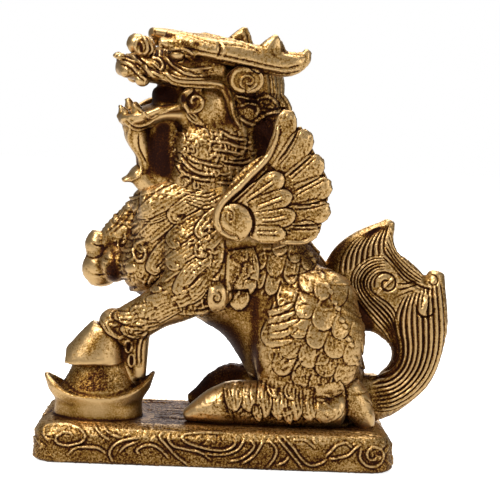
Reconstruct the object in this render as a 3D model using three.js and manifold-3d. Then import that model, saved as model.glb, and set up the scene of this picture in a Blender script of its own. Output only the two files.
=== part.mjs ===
// A seated, winged qilin with one fore hoof on an ingot, on a low base of cloud scrolls.
// The real object is one brass casting, so everything is joined into one solid.
// Millimetres. -X is where the animal looks, -Y is the side of the ingot leg, +Z is up.
// The origin is the middle of the base's underside.
import * as THREE from "three";
import { mergeVertices } from "three/addons/utils/BufferGeometryUtils.js";
import Module from "manifold-3d";

const wasm = await Module();
wasm.setup();

// Driving sizes.
const base = { length: 80.4, depth: 36, height: 8.8, corner: 5, foot: 0.6, crown: 2.4 };
const ingot = { x: -26.4, y: -5.6, halfLength: 12.7, halfWidth: 7.2, rimLow: 13.9, tipRise: 4.2 };
const head = { x: 0, y: -3, z: 84, turn: 15, tilt: 7 }; // the turn and tilt are degrees
const wing = { shoulderX: 2.3, shoulderZ: 54.3, shoulderY: 15, flare: 0.13, discRadius: 4.3 };
const mostTriangles = 9800;
const brass = { color: 0x9a7a35, roughness: 0.35, metalness: 1 };
const near = -1; // the side of the ingot leg
const far = 1;

const degrees = Math.PI / 180;
const upright = new THREE.Vector3(0, 0, 1);
const sideways = new THREE.Vector3(0, 1, 0);

// A closed skin over rings of points, with a point at each end.
function skin(rings, firstPole, lastPole) {
  const sides = rings[0].length;
  const points = [firstPole, ...rings.flat(), lastPole];
  const last = points.length - 1;
  const faces = [];
  for (let k = 0; k < sides; k++) {
    const next = (k + 1) % sides;
    faces.push(0, 1 + next, 1 + k);
    faces.push(last, last - sides + k, last - sides + next);
    for (let ring = 0; ring < rings.length - 1; ring++) {
      const low = 1 + ring * sides;
      const high = low + sides;
      faces.push(low + k, low + next, high + next, low + k, high + next, high + k);
    }
  }
  const geometry = new THREE.BufferGeometry().setFromPoints(points);
  geometry.setIndex(faces);
  return geometry;
}

// A manifold solid of a closed geometry, turned so that its faces point out.
function solid(geometry) {
  const bare = geometry.clone();
  bare.deleteAttribute("normal");
  bare.deleteAttribute("uv");
  const merged = mergeVertices(bare, 1e-4);
  const position = merged.getAttribute("position");
  const index = Array.from(merged.index.array);
  const [a, b, c] = [0, 1, 2].map(() => new THREE.Vector3());
  let volume = 0;
  for (let i = 0; i < index.length; i += 3) {
    a.fromBufferAttribute(position, index[i]);
    b.fromBufferAttribute(position, index[i + 1]);
    c.fromBufferAttribute(position, index[i + 2]);
    volume += a.dot(b.cross(c));
  }
  if (volume < 0) index.reverse();
  return new wasm.Manifold(
    new wasm.Mesh({
      numProp: 3,
      vertProperties: new Float32Array(position.array),
      triVerts: new Uint32Array(index),
    }),
  );
}

// A limb along a smooth line. Each station is [x, y, z, half size across, half size along].
// Across is measured towards the side vector, and along is square to it and to the line.
function limb(stations, { sides = 8, steps = 8, side = sideways, place = (v) => v } = {}) {
  const centres = stations.map(([x, y, z]) => place(new THREE.Vector3(x, y, z)));
  const line = new THREE.CatmullRomCurve3(centres, false, "catmullrom", 0.5);
  const sizes = new THREE.CatmullRomCurve3(
    stations.map(([, , , across, along]) => new THREE.Vector3(across, along ?? across, 0)),
    false,
    "catmullrom",
    0.5,
  );
  const rings = [];
  const poles = [];
  for (let i = 0; i <= steps; i++) {
    const t = i / steps;
    const centre = line.getPoint(t);
    const size = sizes.getPoint(t);
    const tangent = line.getTangent(t);
    const across = side.clone().addScaledVector(tangent, -side.dot(tangent)).normalize();
    const along = tangent.clone().cross(across);
    const ring = [];
    for (let k = 0; k < sides; k++) {
      const angle = (2 * Math.PI * k) / sides;
      const point = centre.clone().addScaledVector(across, size.x * Math.cos(angle));
      ring.push(point.addScaledVector(along, size.y * Math.sin(angle)));
    }
    rings.push(ring);
    if (i === 0 || i === steps) {
      const bulge = 0.45 * Math.min(size.x, size.y) * (i === 0 ? -1 : 1);
      poles.push(centre.clone().addScaledVector(tangent, bulge));
    }
  }
  return solid(skin(rings, poles[0], poles[1]));
}

// An egg shape with its own half sizes, turned about X, Y and Z by degrees.
function egg([x, y, z], [rx, ry, rz], turns = [0, 0, 0], detail = [12, 8]) {
  const geometry = new THREE.SphereGeometry(1, ...detail);
  geometry.scale(rx, ry, rz);
  const [ax, ay, az] = turns.map((turn) => turn * degrees);
  geometry.applyMatrix4(new THREE.Matrix4().makeRotationFromEuler(new THREE.Euler(ax, ay, az)));
  geometry.translate(x, y, z);
  return solid(geometry);
}

const joined = (solids) => solids.flat(Infinity).reduce((sum, one) => sum.add(one));
const bothSides = (make) => [near, far].map(make);

// A slab with round corners, from a foot edge up to a rounded crown.
function baseSlab() {
  const levels = [
    [0, base.foot],
    [0.9, 0],
    [base.height - base.crown, 0.5],
    [base.height - 0.8, 1.3],
    [base.height, 2.9],
  ];
  const cornerSteps = 4;
  const rings = levels.map(([z, inset]) => {
    const ring = [];
    const radius = base.corner - inset / 2;
    for (const [sx, sy, start] of [[1, 1, 0], [-1, 1, 90], [-1, -1, 180], [1, -1, 270]]) {
      for (let k = 0; k <= cornerSteps; k++) {
        const angle = (start + (90 * k) / cornerSteps) * degrees;
        const x = sx * (base.length / 2 - inset - radius) + radius * Math.cos(angle);
        const y = sy * (base.depth / 2 - inset - radius) + radius * Math.sin(angle);
        ring.push(new THREE.Vector3(x, y, z));
      }
    }
    return ring;
  });
  return solid(skin(rings, new THREE.Vector3(), new THREE.Vector3(0, 0, base.height)));
}

// One raised line of a cloud, on a long side or an end of the base.
// Its points are [distance along the side, height], from the side's middle.
function scrollLine(points, face, width = 0.62) {
  const outward = face.end ? base.length / 2 : base.depth / 2;
  const stations = points.map(([run, z]) => {
    const bulge = outward - 0.25 - 0.045 * z;
    return face.end
      ? [face.sign * bulge, run, z, width]
      : [run, face.sign * bulge, z, width];
  });
  const side = face.end ? new THREE.Vector3(1, 0, 0) : sideways;
  return limb(stations, { sides: 4, steps: 3 * (points.length - 1), side });
}

// A curl: a line that winds in from its rim to its eye.
function curlPoints(centreRun, centreZ, radius, turns, direction, start = 200) {
  const count = 7;
  return Array.from({ length: count }, (_, k) => {
    const t = k / (count - 1);
    const angle = (start + direction * 360 * turns * t) * degrees;
    const r = radius * (1 - 0.78 * t);
    return [centreRun + r * 1.25 * Math.cos(angle), centreZ + r * Math.sin(angle)];
  });
}

function cloudScrolls() {
  const longSide = [
    curlPoints(-32, 4.9, 3.1, 1.3, -1),
    [[-27.5, 7.2], [-24.5, 5.2], [-22.5, 2.6]],
    [[-21, 1.6], [-18, 5], [-15, 5.4], [-10, 1.2]],
    [[-13.5, 7.8], [-11, 5.2], [-5, 1.4], [2, 1.3], [9, 5.8]],
    [[-6.5, 7.4], [-6.8, 5.4], [-2, 3.6], [3, 4.2], [5.6, 6.8]],
    [[12, 7.4], [15, 3.2], [18, 1.6], [23, 3]],
    curlPoints(30, 4.6, 3.1, 1.2, 1, 150),
    [[19, 6.6], [23, 6.9], [26.5, 5.4]],
  ];
  const shortSide = [curlPoints(-6, 4.8, 2.8, 1.2, 1), curlPoints(7, 4.6, 2.8, 1.2, -1, 0)];
  const lines = [];
  for (const sign of [near, far]) {
    for (const points of longSide) lines.push(scrollLine(points, { end: false, sign }));
    for (const points of shortSide) lines.push(scrollLine(points, { end: true, sign }));
  }
  return lines;
}

// A boat-shaped ingot: its rim rises to two horns, and a dome stands in the middle.
function ingotOnBase() {
  const sides = 20;
  const ring = (lengthShare, widthShare, height) =>
    Array.from({ length: sides }, (_, k) => {
      const angle = (2 * Math.PI * k) / sides;
      const reach = Math.abs(Math.cos(angle)) ** 3;
      return new THREE.Vector3(
        ingot.x + ingot.halfLength * lengthShare * Math.cos(angle),
        ingot.y + ingot.halfWidth * widthShare * Math.sin(angle),
        height(reach),
      );
    });
  const floor = base.height - 0.8;
  const rim = (reach) => ingot.rimLow + ingot.tipRise * reach;
  const rings = [
    ring(0.68, 0.68, () => floor),
    ring(0.78, 0.84, (reach) => floor + 2 + reach),
    ring(0.9, 0.97, (reach) => (floor + rim(reach)) / 2 + 1),
    ring(1, 1, rim),
    ring(0.94, 0.9, (reach) => rim(reach) - 0.1),
    ring(0.76, 0.84, () => ingot.rimLow - 0.4),
    ring(0.7, 0.8, () => ingot.rimLow + 1.4),
    ring(0.61, 0.74, () => ingot.rimLow + 3),
    ring(0.53, 0.68, () => ingot.rimLow + 5),
    ring(0.5, 0.64, () => ingot.rimLow + 6.8),
  ];
  const under = new THREE.Vector3(ingot.x, ingot.y, floor);
  const crown = new THREE.Vector3(ingot.x, ingot.y, ingot.rimLow + 7.4);
  return solid(skin(rings, under, crown));
}

// The chest, belly and rump along the spine, with the neck.
function trunk() {
  const spine = [
    [22, 0, 9, 10.5, 12.4],
    [21.4, 0, 18, 12, 12.8],
    [17.6, 0, 28, 12, 13.6],
    [11.2, 0, 37.8, 11.8, 14.4],
    [2, 0, 45.8, 12, 16.2],
    [-7.4, 0, 51.6, 11.5, 15.4],
    [-14, 0, 56, 9.6, 9.4],
  ];
  const neck = [
    [-4, 0, 55, 11, 14],
    [-1.4, -0.6, 63, 10, 12],
    [0.4, -1.5, 72, 9.4, 11.4],
    [1.8, -2.4, 80, 9, 10.6],
    [2, -3, 87, 8, 8],
  ];
  return [limb(spine, { sides: 14, steps: 10 }), limb(neck, { sides: 12, steps: 6 })];
}

// Gives the outermost point of a body over (x, z), seen from one side, and the slopes there.
function outsideOf(body) {
  const { numProp, vertProperties, triVerts } = body.getMesh();
  const corners = Array.from(triVerts, (corner) => {
    const start = corner * numProp;
    return new THREE.Vector3(...vertProperties.subarray(start, start + 3));
  });
  const geometry = new THREE.BufferGeometry().setFromPoints(corners);
  const target = new THREE.Mesh(geometry, new THREE.MeshBasicMaterial({ side: THREE.DoubleSide }));
  const caster = new THREE.Raycaster();
  const beyond = base.depth * 2;
  const reach = (x, z, side) => {
    caster.set(new THREE.Vector3(x, side * beyond, z), new THREE.Vector3(0, -side, 0));
    return caster.intersectObject(target)[0]?.point.y;
  };
  const step = 1.2;
  return (x, z, side) => {
    const y = reach(x, z, side);
    if (y === undefined) return undefined;
    const slope = (dx, dz) => {
      const [one, other] = [reach(x + dx, z + dz, side) ?? y, reach(x - dx, z - dz, side) ?? y];
      return THREE.MathUtils.clamp(((one - other) * side) / (2 * step), -1.2, 1.2);
    };
    const normal = new THREE.Vector3(-slope(step, 0), side, -slope(0, step)).normalize();
    return { point: new THREE.Vector3(x, y, z), normal };
  };
}

// A scale that lies on the body: a rounded shield whose free edge, towards its heading, stands up.
function scaleOn(spot, heading, halfWidth, halfLength, rise) {
  const { point, normal } = spot;
  const down = new THREE.Vector3(Math.cos(heading * degrees), 0, Math.sin(heading * degrees));
  down.addScaledVector(normal, -down.dot(normal)).normalize();
  const across = down.clone().cross(normal);
  const sides = 7;
  const ring = (share, height) =>
    Array.from({ length: sides }, (_, k) => {
      const angle = (2 * Math.PI * k) / sides;
      const along = Math.cos(angle);
      return point
        .clone()
        .addScaledVector(down, halfLength * share * along)
        .addScaledVector(across, halfWidth * share * Math.sin(angle))
        .addScaledVector(normal, height(along));
    });
  const sunk = point.clone().addScaledVector(normal, -1.4);
  const crown = point.clone().addScaledVector(normal, rise * 0.75).addScaledVector(down, halfLength * 0.1);
  const rings = [ring(0.9, () => -1.4), ring(1, (along) => rise * (0.35 + 0.65 * along))];
  return solid(skin(rings, sunk, crown));
}

// Rows of scales over a patch. Each row is [start x, start z, end x, end z, how many].
function scaleRows(rows, side, { outside, heading, halfWidth, halfLength, rise }) {
  return rows.flatMap(([x0, z0, x1, z1, count]) =>
    Array.from({ length: count }, (_, k) => {
      const t = count > 1 ? k / (count - 1) : 0;
      const spot = outside(x0 + (x1 - x0) * t, z0 + (z1 - z0) * t, side);
      return spot ? scaleOn(spot, heading, halfWidth, halfLength, rise) : [];
    }),
  );
}

function flankScales(outside) {
  const haunch = [
    [14, 38.5, 27, 36.2, 4],
    [12.6, 34.6, 29.6, 32, 5],
    [12, 30.6, 31, 28, 5],
    [13.4, 26.6, 31.6, 24, 5],
    [14.6, 22.8, 31.6, 20.4, 4],
  ];
  const ribs = [
    [12, 49.4, 19, 47, 2],
    [10.6, 46, 22, 42.6, 3],
    [11.4, 42, 24.4, 38.8, 3],
  ];
  const large = { outside, heading: -62, halfWidth: 2.5, halfLength: 2.9, rise: 1.1 };
  const small = { outside, heading: -45, halfWidth: 2.2, halfLength: 2.6, rise: 0.9 };
  return bothSides((side) => [scaleRows(haunch, side, large), scaleRows(ribs, side, small)]);
}

// Rectangular plates along the back, from between the wings to the tail.
function backRidge() {
  const line = new THREE.CatmullRomCurve3([
    new THREE.Vector3(14.5, 0, 54),
    new THREE.Vector3(21.4, 0, 45.6),
    new THREE.Vector3(27.6, 0, 36.6),
    new THREE.Vector3(30.6, 0, 31.4),
  ]);
  const count = 8;
  return Array.from({ length: count }, (_, k) => {
    const t = k / (count - 1);
    const centre = line.getPoint(t);
    const tangent = line.getTangent(t);
    const plate = new THREE.BoxGeometry(2.5, 3.2, 2.3);
    plate.rotateY(-Math.atan2(tangent.z, tangent.x));
    plate.translate(centre.x, centre.y, centre.z);
    return solid(plate);
  });
}

// A folded hind leg: a broad thigh, and a long foot flat on the base with its hoof forward.
function hindLeg(side) {
  const forward = side === near ? 0 : 0.8;
  const thigh = [
    [26, side * 6, 40, 5, 6],
    [22.5, side * 8.4, 34.5, 6.2, 11],
    [20.5, side * 9, 26, 6.4, 12],
    [20.5, side * 8.6, 18.5, 5.2, 10.5],
    [21.5, side * 8, 14, 3.6, 7],
  ];
  const foot = [
    [27.4, side * 8, 13, 5.2, 4.6],
    [19, side * 8.8, 13, 5, 4.6],
    [11, side * 9, 13.4, 4.6, 5],
    [4.2, side * 9.2, 13.4 + forward, 4.2, 5],
    [1 + forward, side * 9.3, 12.8 + forward, 3.8, 4.2],
  ];
  const hoof = [
    [3.4 + forward, side * 9.2, 12.6 + forward, 3.9, 4.3],
    [0.4 + forward, side * 9.3, 12.4 + forward, 4, 4.4],
    [-3.2 + forward, side * 9.4, 11.3, 3.3, 2.9],
    [-6.4 + forward, side * 9.5, 10.2, 2, 1.4],
  ];
  const flap = limb(
    [
      [30, side * 8.4, 17.5, 2.6, 3],
      [31.6, side * 8.6, 14, 2.6, 3.6],
      [33.6, side * 8.6, 11, 2.2, 2.6],
      [34.6, side * 8.6, 9, 1.6, 1.6],
    ],
    { sides: 8, steps: 5 },
  );
  return [
    limb(thigh, { sides: 14, steps: 8 }),
    limb(foot, { sides: 10, steps: 7 }),
    limb(hoof, { sides: 10, steps: 6 }),
    flap,
  ];
}

// Overlapping leaves along the outer side of a hind foot, as [x, z, heading, half width, half length].
function footLeaves(side, outside) {
  const leaves = [
    [3.6, 14.4, 262, 2.6, 3.8],
    [7.6, 14, 275, 2.5, 4],
    [11.4, 12.8, 285, 2.3, 3.6],
    [12.6, 16.4, 300, 1.8, 2.2],
    [15.4, 12.6, 292, 2.3, 3.4],
    [19, 12.4, 298, 2.3, 3.2],
    [25, 13.4, 350, 2.8, 4.6],
  ];
  return leaves.map(([x, z, heading, halfWidth, halfLength]) => {
    const spot = outside(x, z, side);
    return spot ? scaleOn(spot, heading, halfWidth, halfLength, 1.3) : [];
  });
}

// The near foreleg reaches down to the ingot. Its hoof is a leaning cone with a flat sole.
function ingotLeg() {
  const leg = [
    [1, -8.5, 54, 4.4, 10],
    [-3, -9.6, 47.5, 5, 9.6],
    [-5.4, -10.4, 41, 5, 7.6],
    [-9.4, -9.8, 37, 4.8, 5.9],
    [-14, -8.6, 33.6, 4.4, 5.2],
    [-18.2, -7.4, 30.6, 4.2, 5],
    [-21.8, -6.6, 28.4, 4.2, 4.6],
  ];
  const elbow = egg([-1, -11.4, 38.4], [3.6, 4, 3.8], [0, 0, 0], [10, 6]);
  const hoofRing = (x, z, length, width, rise) =>
    Array.from({ length: 16 }, (_, k) => {
      const angle = (2 * Math.PI * k) / 16;
      return new THREE.Vector3(
        x + length * Math.cos(angle),
        -6 + width * Math.sin(angle),
        z + rise * Math.cos(angle),
      );
    });
  const hoof = skin(
    [
      hoofRing(-28.2, 20.7, 6.8, 5.4, 0),
      hoofRing(-27.9, 21.7, 6.7, 5.4, -0.1),
      hoofRing(-26.4, 24.6, 5.6, 5, -1.2),
      hoofRing(-24.4, 27.2, 4.3, 4.6, -2.2),
      hoofRing(-22.7, 28.8, 3.3, 4.3, -2.6),
    ],
    new THREE.Vector3(-28.2, -6, 20.7),
    new THREE.Vector3(-22, -6, 29.4),
  );
  const spur = [
    [-17.6, -6.6, 29, 3.2],
    [-17.2, -6.4, 25, 2.6],
    [-16.9, -6.2, 21.5, 2.2],
    [-16.7, -6, 18, 1.5],
  ];
  const pastern = [
    [-21.4, -5.6, 28, 2.6],
    [-20.4, -5.4, 23, 2.2],
    [-19.6, -5.2, 18, 2],
    [-19.6, -5.2, 14, 2],
  ];
  const behind = [limb(spur, { sides: 7, steps: 6 }), limb(pastern, { sides: 7, steps: 5 })];
  return [limb(leg, { sides: 12, steps: 14 }), elbow, solid(hoof), behind];
}

// The far foreleg is raised and folded, with its hoof hanging in front of the chest.
function raisedLeg() {
  const upper = [
    [-4, 7.5, 54, 5, 10],
    [-11, 8, 53, 5.2, 9.6],
    [-18, 8, 51, 5.2, 9.4],
    [-23.4, 8, 49.2, 4.6, 7],
    [-27, 8, 47.6, 3.4, 3.2],
  ];
  const cannon = [
    [-28, 8, 47.8, 2.8, 2.4],
    [-27.6, 8, 44.8, 3.2, 3],
    [-27, 8, 41.4, 4, 4.5],
    [-26.6, 8, 38.8, 3.4, 3.6],
  ];
  const brisket = egg([-15.6, 1.4, 43.4], [7.4, 9.4, 8], [0, 20, 0], [12, 8]);
  return [limb(upper, { sides: 12, steps: 9 }), limb(cannon, { sides: 10, steps: 8 }), brisket];
}

// Locks that lie on the ruff, the shoulder and the upper foreleg, and curl at their ends.
// Each is [x, z, length, heading, curl], and the last two are degrees.
function bodyLocks(side, outside) {
  const locks = [
    [5.4, 73, 8, 232, -60],
    [2, 75, 9, 236, -50],
    [-2, 74, 9, 240, -60],
    [-6.4, 73.6, 8, 246, -60],
    [5, 69.6, 7, 224, -60],
    [0.6, 68.6, 7, 228, -60],
    [-4.6, 67.6, 6, 232, -60],
    [-4, 62, 9, 205, 70],
    [-9.6, 61, 10, 208, 60],
    [-1.6, 58, 11, 207, 75],
    [-9, 57, 11, 208, 70],
    [-2.6, 53.6, 11, 208, 80],
    [-11, 52.6, 10, 210, 70],
    [-0.6, 49.2, 10, 212, 80],
    [-8.4, 48, 9, 214, 80],
    [0.6, 45, 8, 216, 80],
    [-5.4, 43.6, 8, 214, 80],
    [4.4, 48, 10, 285, -50],
    [6.6, 44.6, 8, 270, -70],
  ];
  const count = 6;
  return locks.flatMap(([x0, z0, length, heading, curl]) => {
    const points = [];
    let [x, z] = [x0, z0];
    for (let k = 0; k < count; k++) {
      const t = k / (count - 1);
      const y = outside(x, z, side)?.point.y;
      if (y === undefined) break;
      points.push([x, y + side * 0.1, z, 1.3 - 0.6 * t, 1.8 - 0.9 * t]);
      const turned = (heading - curl * t * t * 1.8) * degrees;
      x += (length / (count - 1)) * Math.cos(turned);
      z += (length / (count - 1)) * Math.sin(turned);
    }
    return points.length > 2 ? [limb(points, { sides: 6, steps: 8 })] : [];
  });
}

// One feather in the plane of the wing, from root to tip, as [x, z] pairs.
function feather(root, tip, halfWidth, lift, side) {
  const out = (z) => side * (wing.shoulderY + wing.flare * (z - wing.shoulderZ) + lift);
  const point = (t, width, thick) => {
    const x = root[0] + (tip[0] - root[0]) * t;
    const z = root[1] + (tip[1] - root[1]) * t;
    return [x, out(z), z, thick, width];
  };
  const stations = [
    point(0, halfWidth * 0.55, 0.9),
    point(0.45, halfWidth * 0.95, 1.15),
    point(0.82, halfWidth, 1),
    point(1, halfWidth * 0.5, 0.6),
  ];
  return limb(stations, { sides: 6, steps: 5 });
}

// The wing rises from a disc on the shoulder and fans out in two rows of feathers.
function wingOn(side) {
  const outerRow = [
    [[8.3, 66.5], [13.4, 78.8]],
    [[9.6, 65], [17.6, 75.2]],
    [[11, 63.4], [21, 70.4]],
    [[12.4, 61.4], [23.2, 65.4]],
    [[13.4, 59], [23.8, 60]],
    [[13.2, 56.2], [21.9, 55]],
    [[11.2, 53.8], [17.8, 51.6]],
  ];
  const innerRow = [
    [[3.5, 59.6], [10.8, 66]],
    [[4.4, 57.8], [13.2, 62]],
    [[5, 55.8], [14.4, 57.2]],
    [[5, 53.4], [12.6, 52.4]],
  ];
  const depth = (z) => side * (wing.shoulderY + wing.flare * (z - wing.shoulderZ));
  const web = limb(
    [
      [1, depth(54), 54, 1.8, 4],
      [7, depth(59), 59, 1.5, 7.4],
      [12, depth(62), 62, 1.2, 8.4],
      [15.5, depth(64), 64, 0.8, 6],
    ],
    { sides: 8, steps: 6 },
  );
  const edge = limb(
    [
      [-1.6, side * 15, 53, 1.5],
      [-1, side * 15.4, 57.4, 1.5],
      [2.2, side * 16, 61.6, 1.4],
      [6.2, side * 16.6, 65.6, 1.3],
      [8.8, side * 17, 67.6, 1.2],
    ],
    { sides: 6, steps: 8 },
  );
  const { shoulderX, shoulderZ, shoulderY, discRadius } = wing;
  const disc = egg([shoulderX, side * (shoulderY - 1.4), shoulderZ], [discRadius, 4, discRadius], [0, 0, 0], [14, 8]);
  const primaries = outerRow.map(([root, tip]) => feather(root, tip, 2.9, 0, side));
  const coverts = innerRow.map(([root, tip]) => feather(root, tip, 2.7, 1.1, side));
  return [web, edge, disc, primaries, coverts];
}

// The tail sweeps up from the rump as one plume that ends in two tips and two curls.
function tail() {
  const plume = [
    [33, 0, 13, 5, 4.4],
    [39.6, 0, 14.6, 5.2, 4.6],
    [45, 0, 20, 5, 5.2],
    [47, 0, 26, 4.8, 6.1],
    [45.6, 0, 32.4, 4.6, 7.4],
    [41, 0, 38.2, 4.4, 8],
    [37.2, 0, 44.2, 4, 6.2],
    [37, 0, 50.2, 2.8, 3],
    [38.6, 0, 55, 1.3, 1.3],
  ];
  const sideTip = [
    [48.2, 0, 30, 3.6, 4.8],
    [48.8, 0, 36.6, 3.6, 4.2],
    [49.6, 0, 41, 2.8, 2.8],
    [50.1, 0, 43.4, 1.9, 2],
  ];
  const backLock = [
    [27, 0, 40.6, 3.6, 4],
    [30.4, 0, 45, 3.8, 4.6],
    [34, 0, 49.4, 3, 3.8],
    [38, 0, 54, 1.4, 1.6],
  ];
  const bridge = [
    [29, 0, 34, 4, 5],
    [35, 0, 34.4, 4.2, 5.4],
    [42, 0, 35.4, 4, 6],
  ];
  const body = [
    limb(plume, { sides: 12, steps: 14 }),
    limb(sideTip, { sides: 8, steps: 5 }),
    limb(backLock, { sides: 8, steps: 5 }),
    limb(bridge, { sides: 8, steps: 4 }),
  ];
  return [body, bothSides(tailLocks)];
}

// Raised hair lines that run round the plume and wind into its curls.
function tailLocks(side) {
  const windIn = ([cx, cz], radius, start, turns, direction) =>
    Array.from({ length: 8 }, (_, k) => {
      const t = k / 7;
      const angle = (start + direction * 360 * turns * t) * degrees;
      const r = radius * (1 - 0.72 * t);
      return [cx + r * Math.cos(angle), side * (4.1 + 0.9 * t), cz + r * Math.sin(angle), 0.9, 1];
    });
  const sweep = (shift) => [
    [36, side * 4.6, 13.4 + 1.6 * shift, 0.8, 0.9],
    [42 - 0.8 * shift, side * 4.9, 15.6 + 1.4 * shift, 0.9, 1],
    [48.2 - 1.7 * shift, side * 4.4, 22.6 + 0.6 * shift, 0.9, 1],
    [50 - 2 * shift, side * 4, 30, 0.9, 1],
    [47.8 - 2.4 * shift, side * 4.2, 35 + 0.4 * shift, 0.8, 0.9],
  ];
  const flame = (foot, tip) => [
    [foot[0], side * 3.9, foot[1], 0.9, 1],
    [(foot[0] + tip[0]) / 2 - 1, side * 3.6, (foot[1] + tip[1]) / 2, 0.9, 1],
    [tip[0], side * 1.6, tip[1], 0.6, 0.6],
  ];
  const top = [38.6, 54];
  return [
    limb(windIn([36.6, 40.2], 5, 250, 1.15, -1), { sides: 5, steps: 14 }),
    limb(windIn([47, 35.4], 3.6, 200, 1.1, -1), { sides: 5, steps: 12 }),
    [0, 1, 2, 3].map((shift) => limb(sweep(shift), { sides: 5, steps: 8 })),
    [[30.5, 43], [34, 46.4], [38, 46.6], [42.4, 45]].map((foot) => limb(flame(foot, top), { sides: 5, steps: 4 })),
  ];
}

// Points of the head are [forward, to the near side, up] from the middle of the skull.
function headPlace(v) {
  const [turn, tilt] = [head.turn * degrees, head.tilt * degrees];
  const forward = new THREE.Vector3(-Math.cos(turn), -Math.sin(turn), 0);
  const level = new THREE.Vector3(Math.sin(turn), -Math.cos(turn), 0);
  const toSide = level.clone().multiplyScalar(Math.cos(tilt)).addScaledVector(upright, -Math.sin(tilt));
  const up = upright.clone().multiplyScalar(Math.cos(tilt)).addScaledVector(level, Math.sin(tilt));
  return new THREE.Vector3(head.x, head.y, head.z)
    .addScaledVector(forward, v.x)
    .addScaledVector(toSide, v.y)
    .addScaledVector(up, v.z);
}
const headSide = headPlace(new THREE.Vector3(0, 1, 0)).sub(headPlace(new THREE.Vector3()));
const headLimb = (stations, sides, steps) => limb(stations, { sides, steps, side: headSide, place: headPlace });
const headEgg = (centre, radii, detail = [10, 7]) => {
  const geometry = new THREE.SphereGeometry(1, ...detail);
  geometry.scale(...radii);
  geometry.translate(...centre);
  const position = geometry.getAttribute("position");
  for (let i = 0; i < position.count; i++) {
    const placed = headPlace(new THREE.Vector3().fromBufferAttribute(position, i));
    position.setXYZ(i, placed.x, placed.y, placed.z);
  }
  return solid(geometry);
};

function skullAndJaws() {
  const muzzle = [
    [4, 0, 4.6, 8.6, 6],
    [10, 0, 4.7, 8.2, 5],
    [15, 0, 4.2, 7, 4.3],
    [20, 0, 3.9, 5.8, 3.6],
    [23.8, 0, 3.8, 4.6, 2.8],
    [25.9, 0, 3.7, 3, 1.7],
  ];
  const jaw = [
    [4, 0, -5.6, 8, 4],
    [10, 0, -5.8, 7.6, 2.6],
    [15, 0, -6, 6.6, 2.1],
    [19, 0, -7.4, 5.4, 2.2],
    [22, 0, -8.2, 4.4, 2],
    [24, 0, -8, 2.8, 1.1],
  ];
  const throat = [
    [2, 0, -2, 6, 7],
    [10, 0, -2, 5, 6],
    [15.6, 0, -3.6, 3.6, 3],
  ];
  const beard = [
    [21.2, 0, -9.4, 3.4, 2.5],
    [20, 0, -12.6, 3, 2.3],
    [18.6, 0, -16, 2.6, 1.5],
    [18.4, 0, -18.8, 2.4, 1.4],
    [19.4, 0, -21, 2.2, 1.4],
    [21, 0, -22.2, 1.2, 0.8],
  ];
  const beardRoot = [
    [20.2, 0, -20, 2.6, 2],
    [16, 0, -23, 3.6, 3],
    [10, 0, -27, 4, 4],
  ];
  const farBeard = [
    [16, -4.6, -9, 2, 3],
    [15, -5.4, -14, 2.2, 3.4],
    [14.4, -5.6, -19, 2.4, 3.8],
    [13, -5, -24, 2.4, 4],
  ];
  return [
    headEgg([-1.5, 0, 0.4], [11.4, 9.2, 9.4], [14, 10]),
    headLimb(muzzle, 12, 7),
    headLimb(jaw, 12, 7),
    headLimb(throat, 8, 4),
    headLimb(beard, 8, 7),
    headLimb(beardRoot, 8, 4),
    headLimb(farBeard, 8, 5),
    [1, -1].map((m) => headEgg([4, m * 7, -13.6], [9.8, 5.8, 7], [14, 9])), // ruff below the cheek
  ];
}

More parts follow.
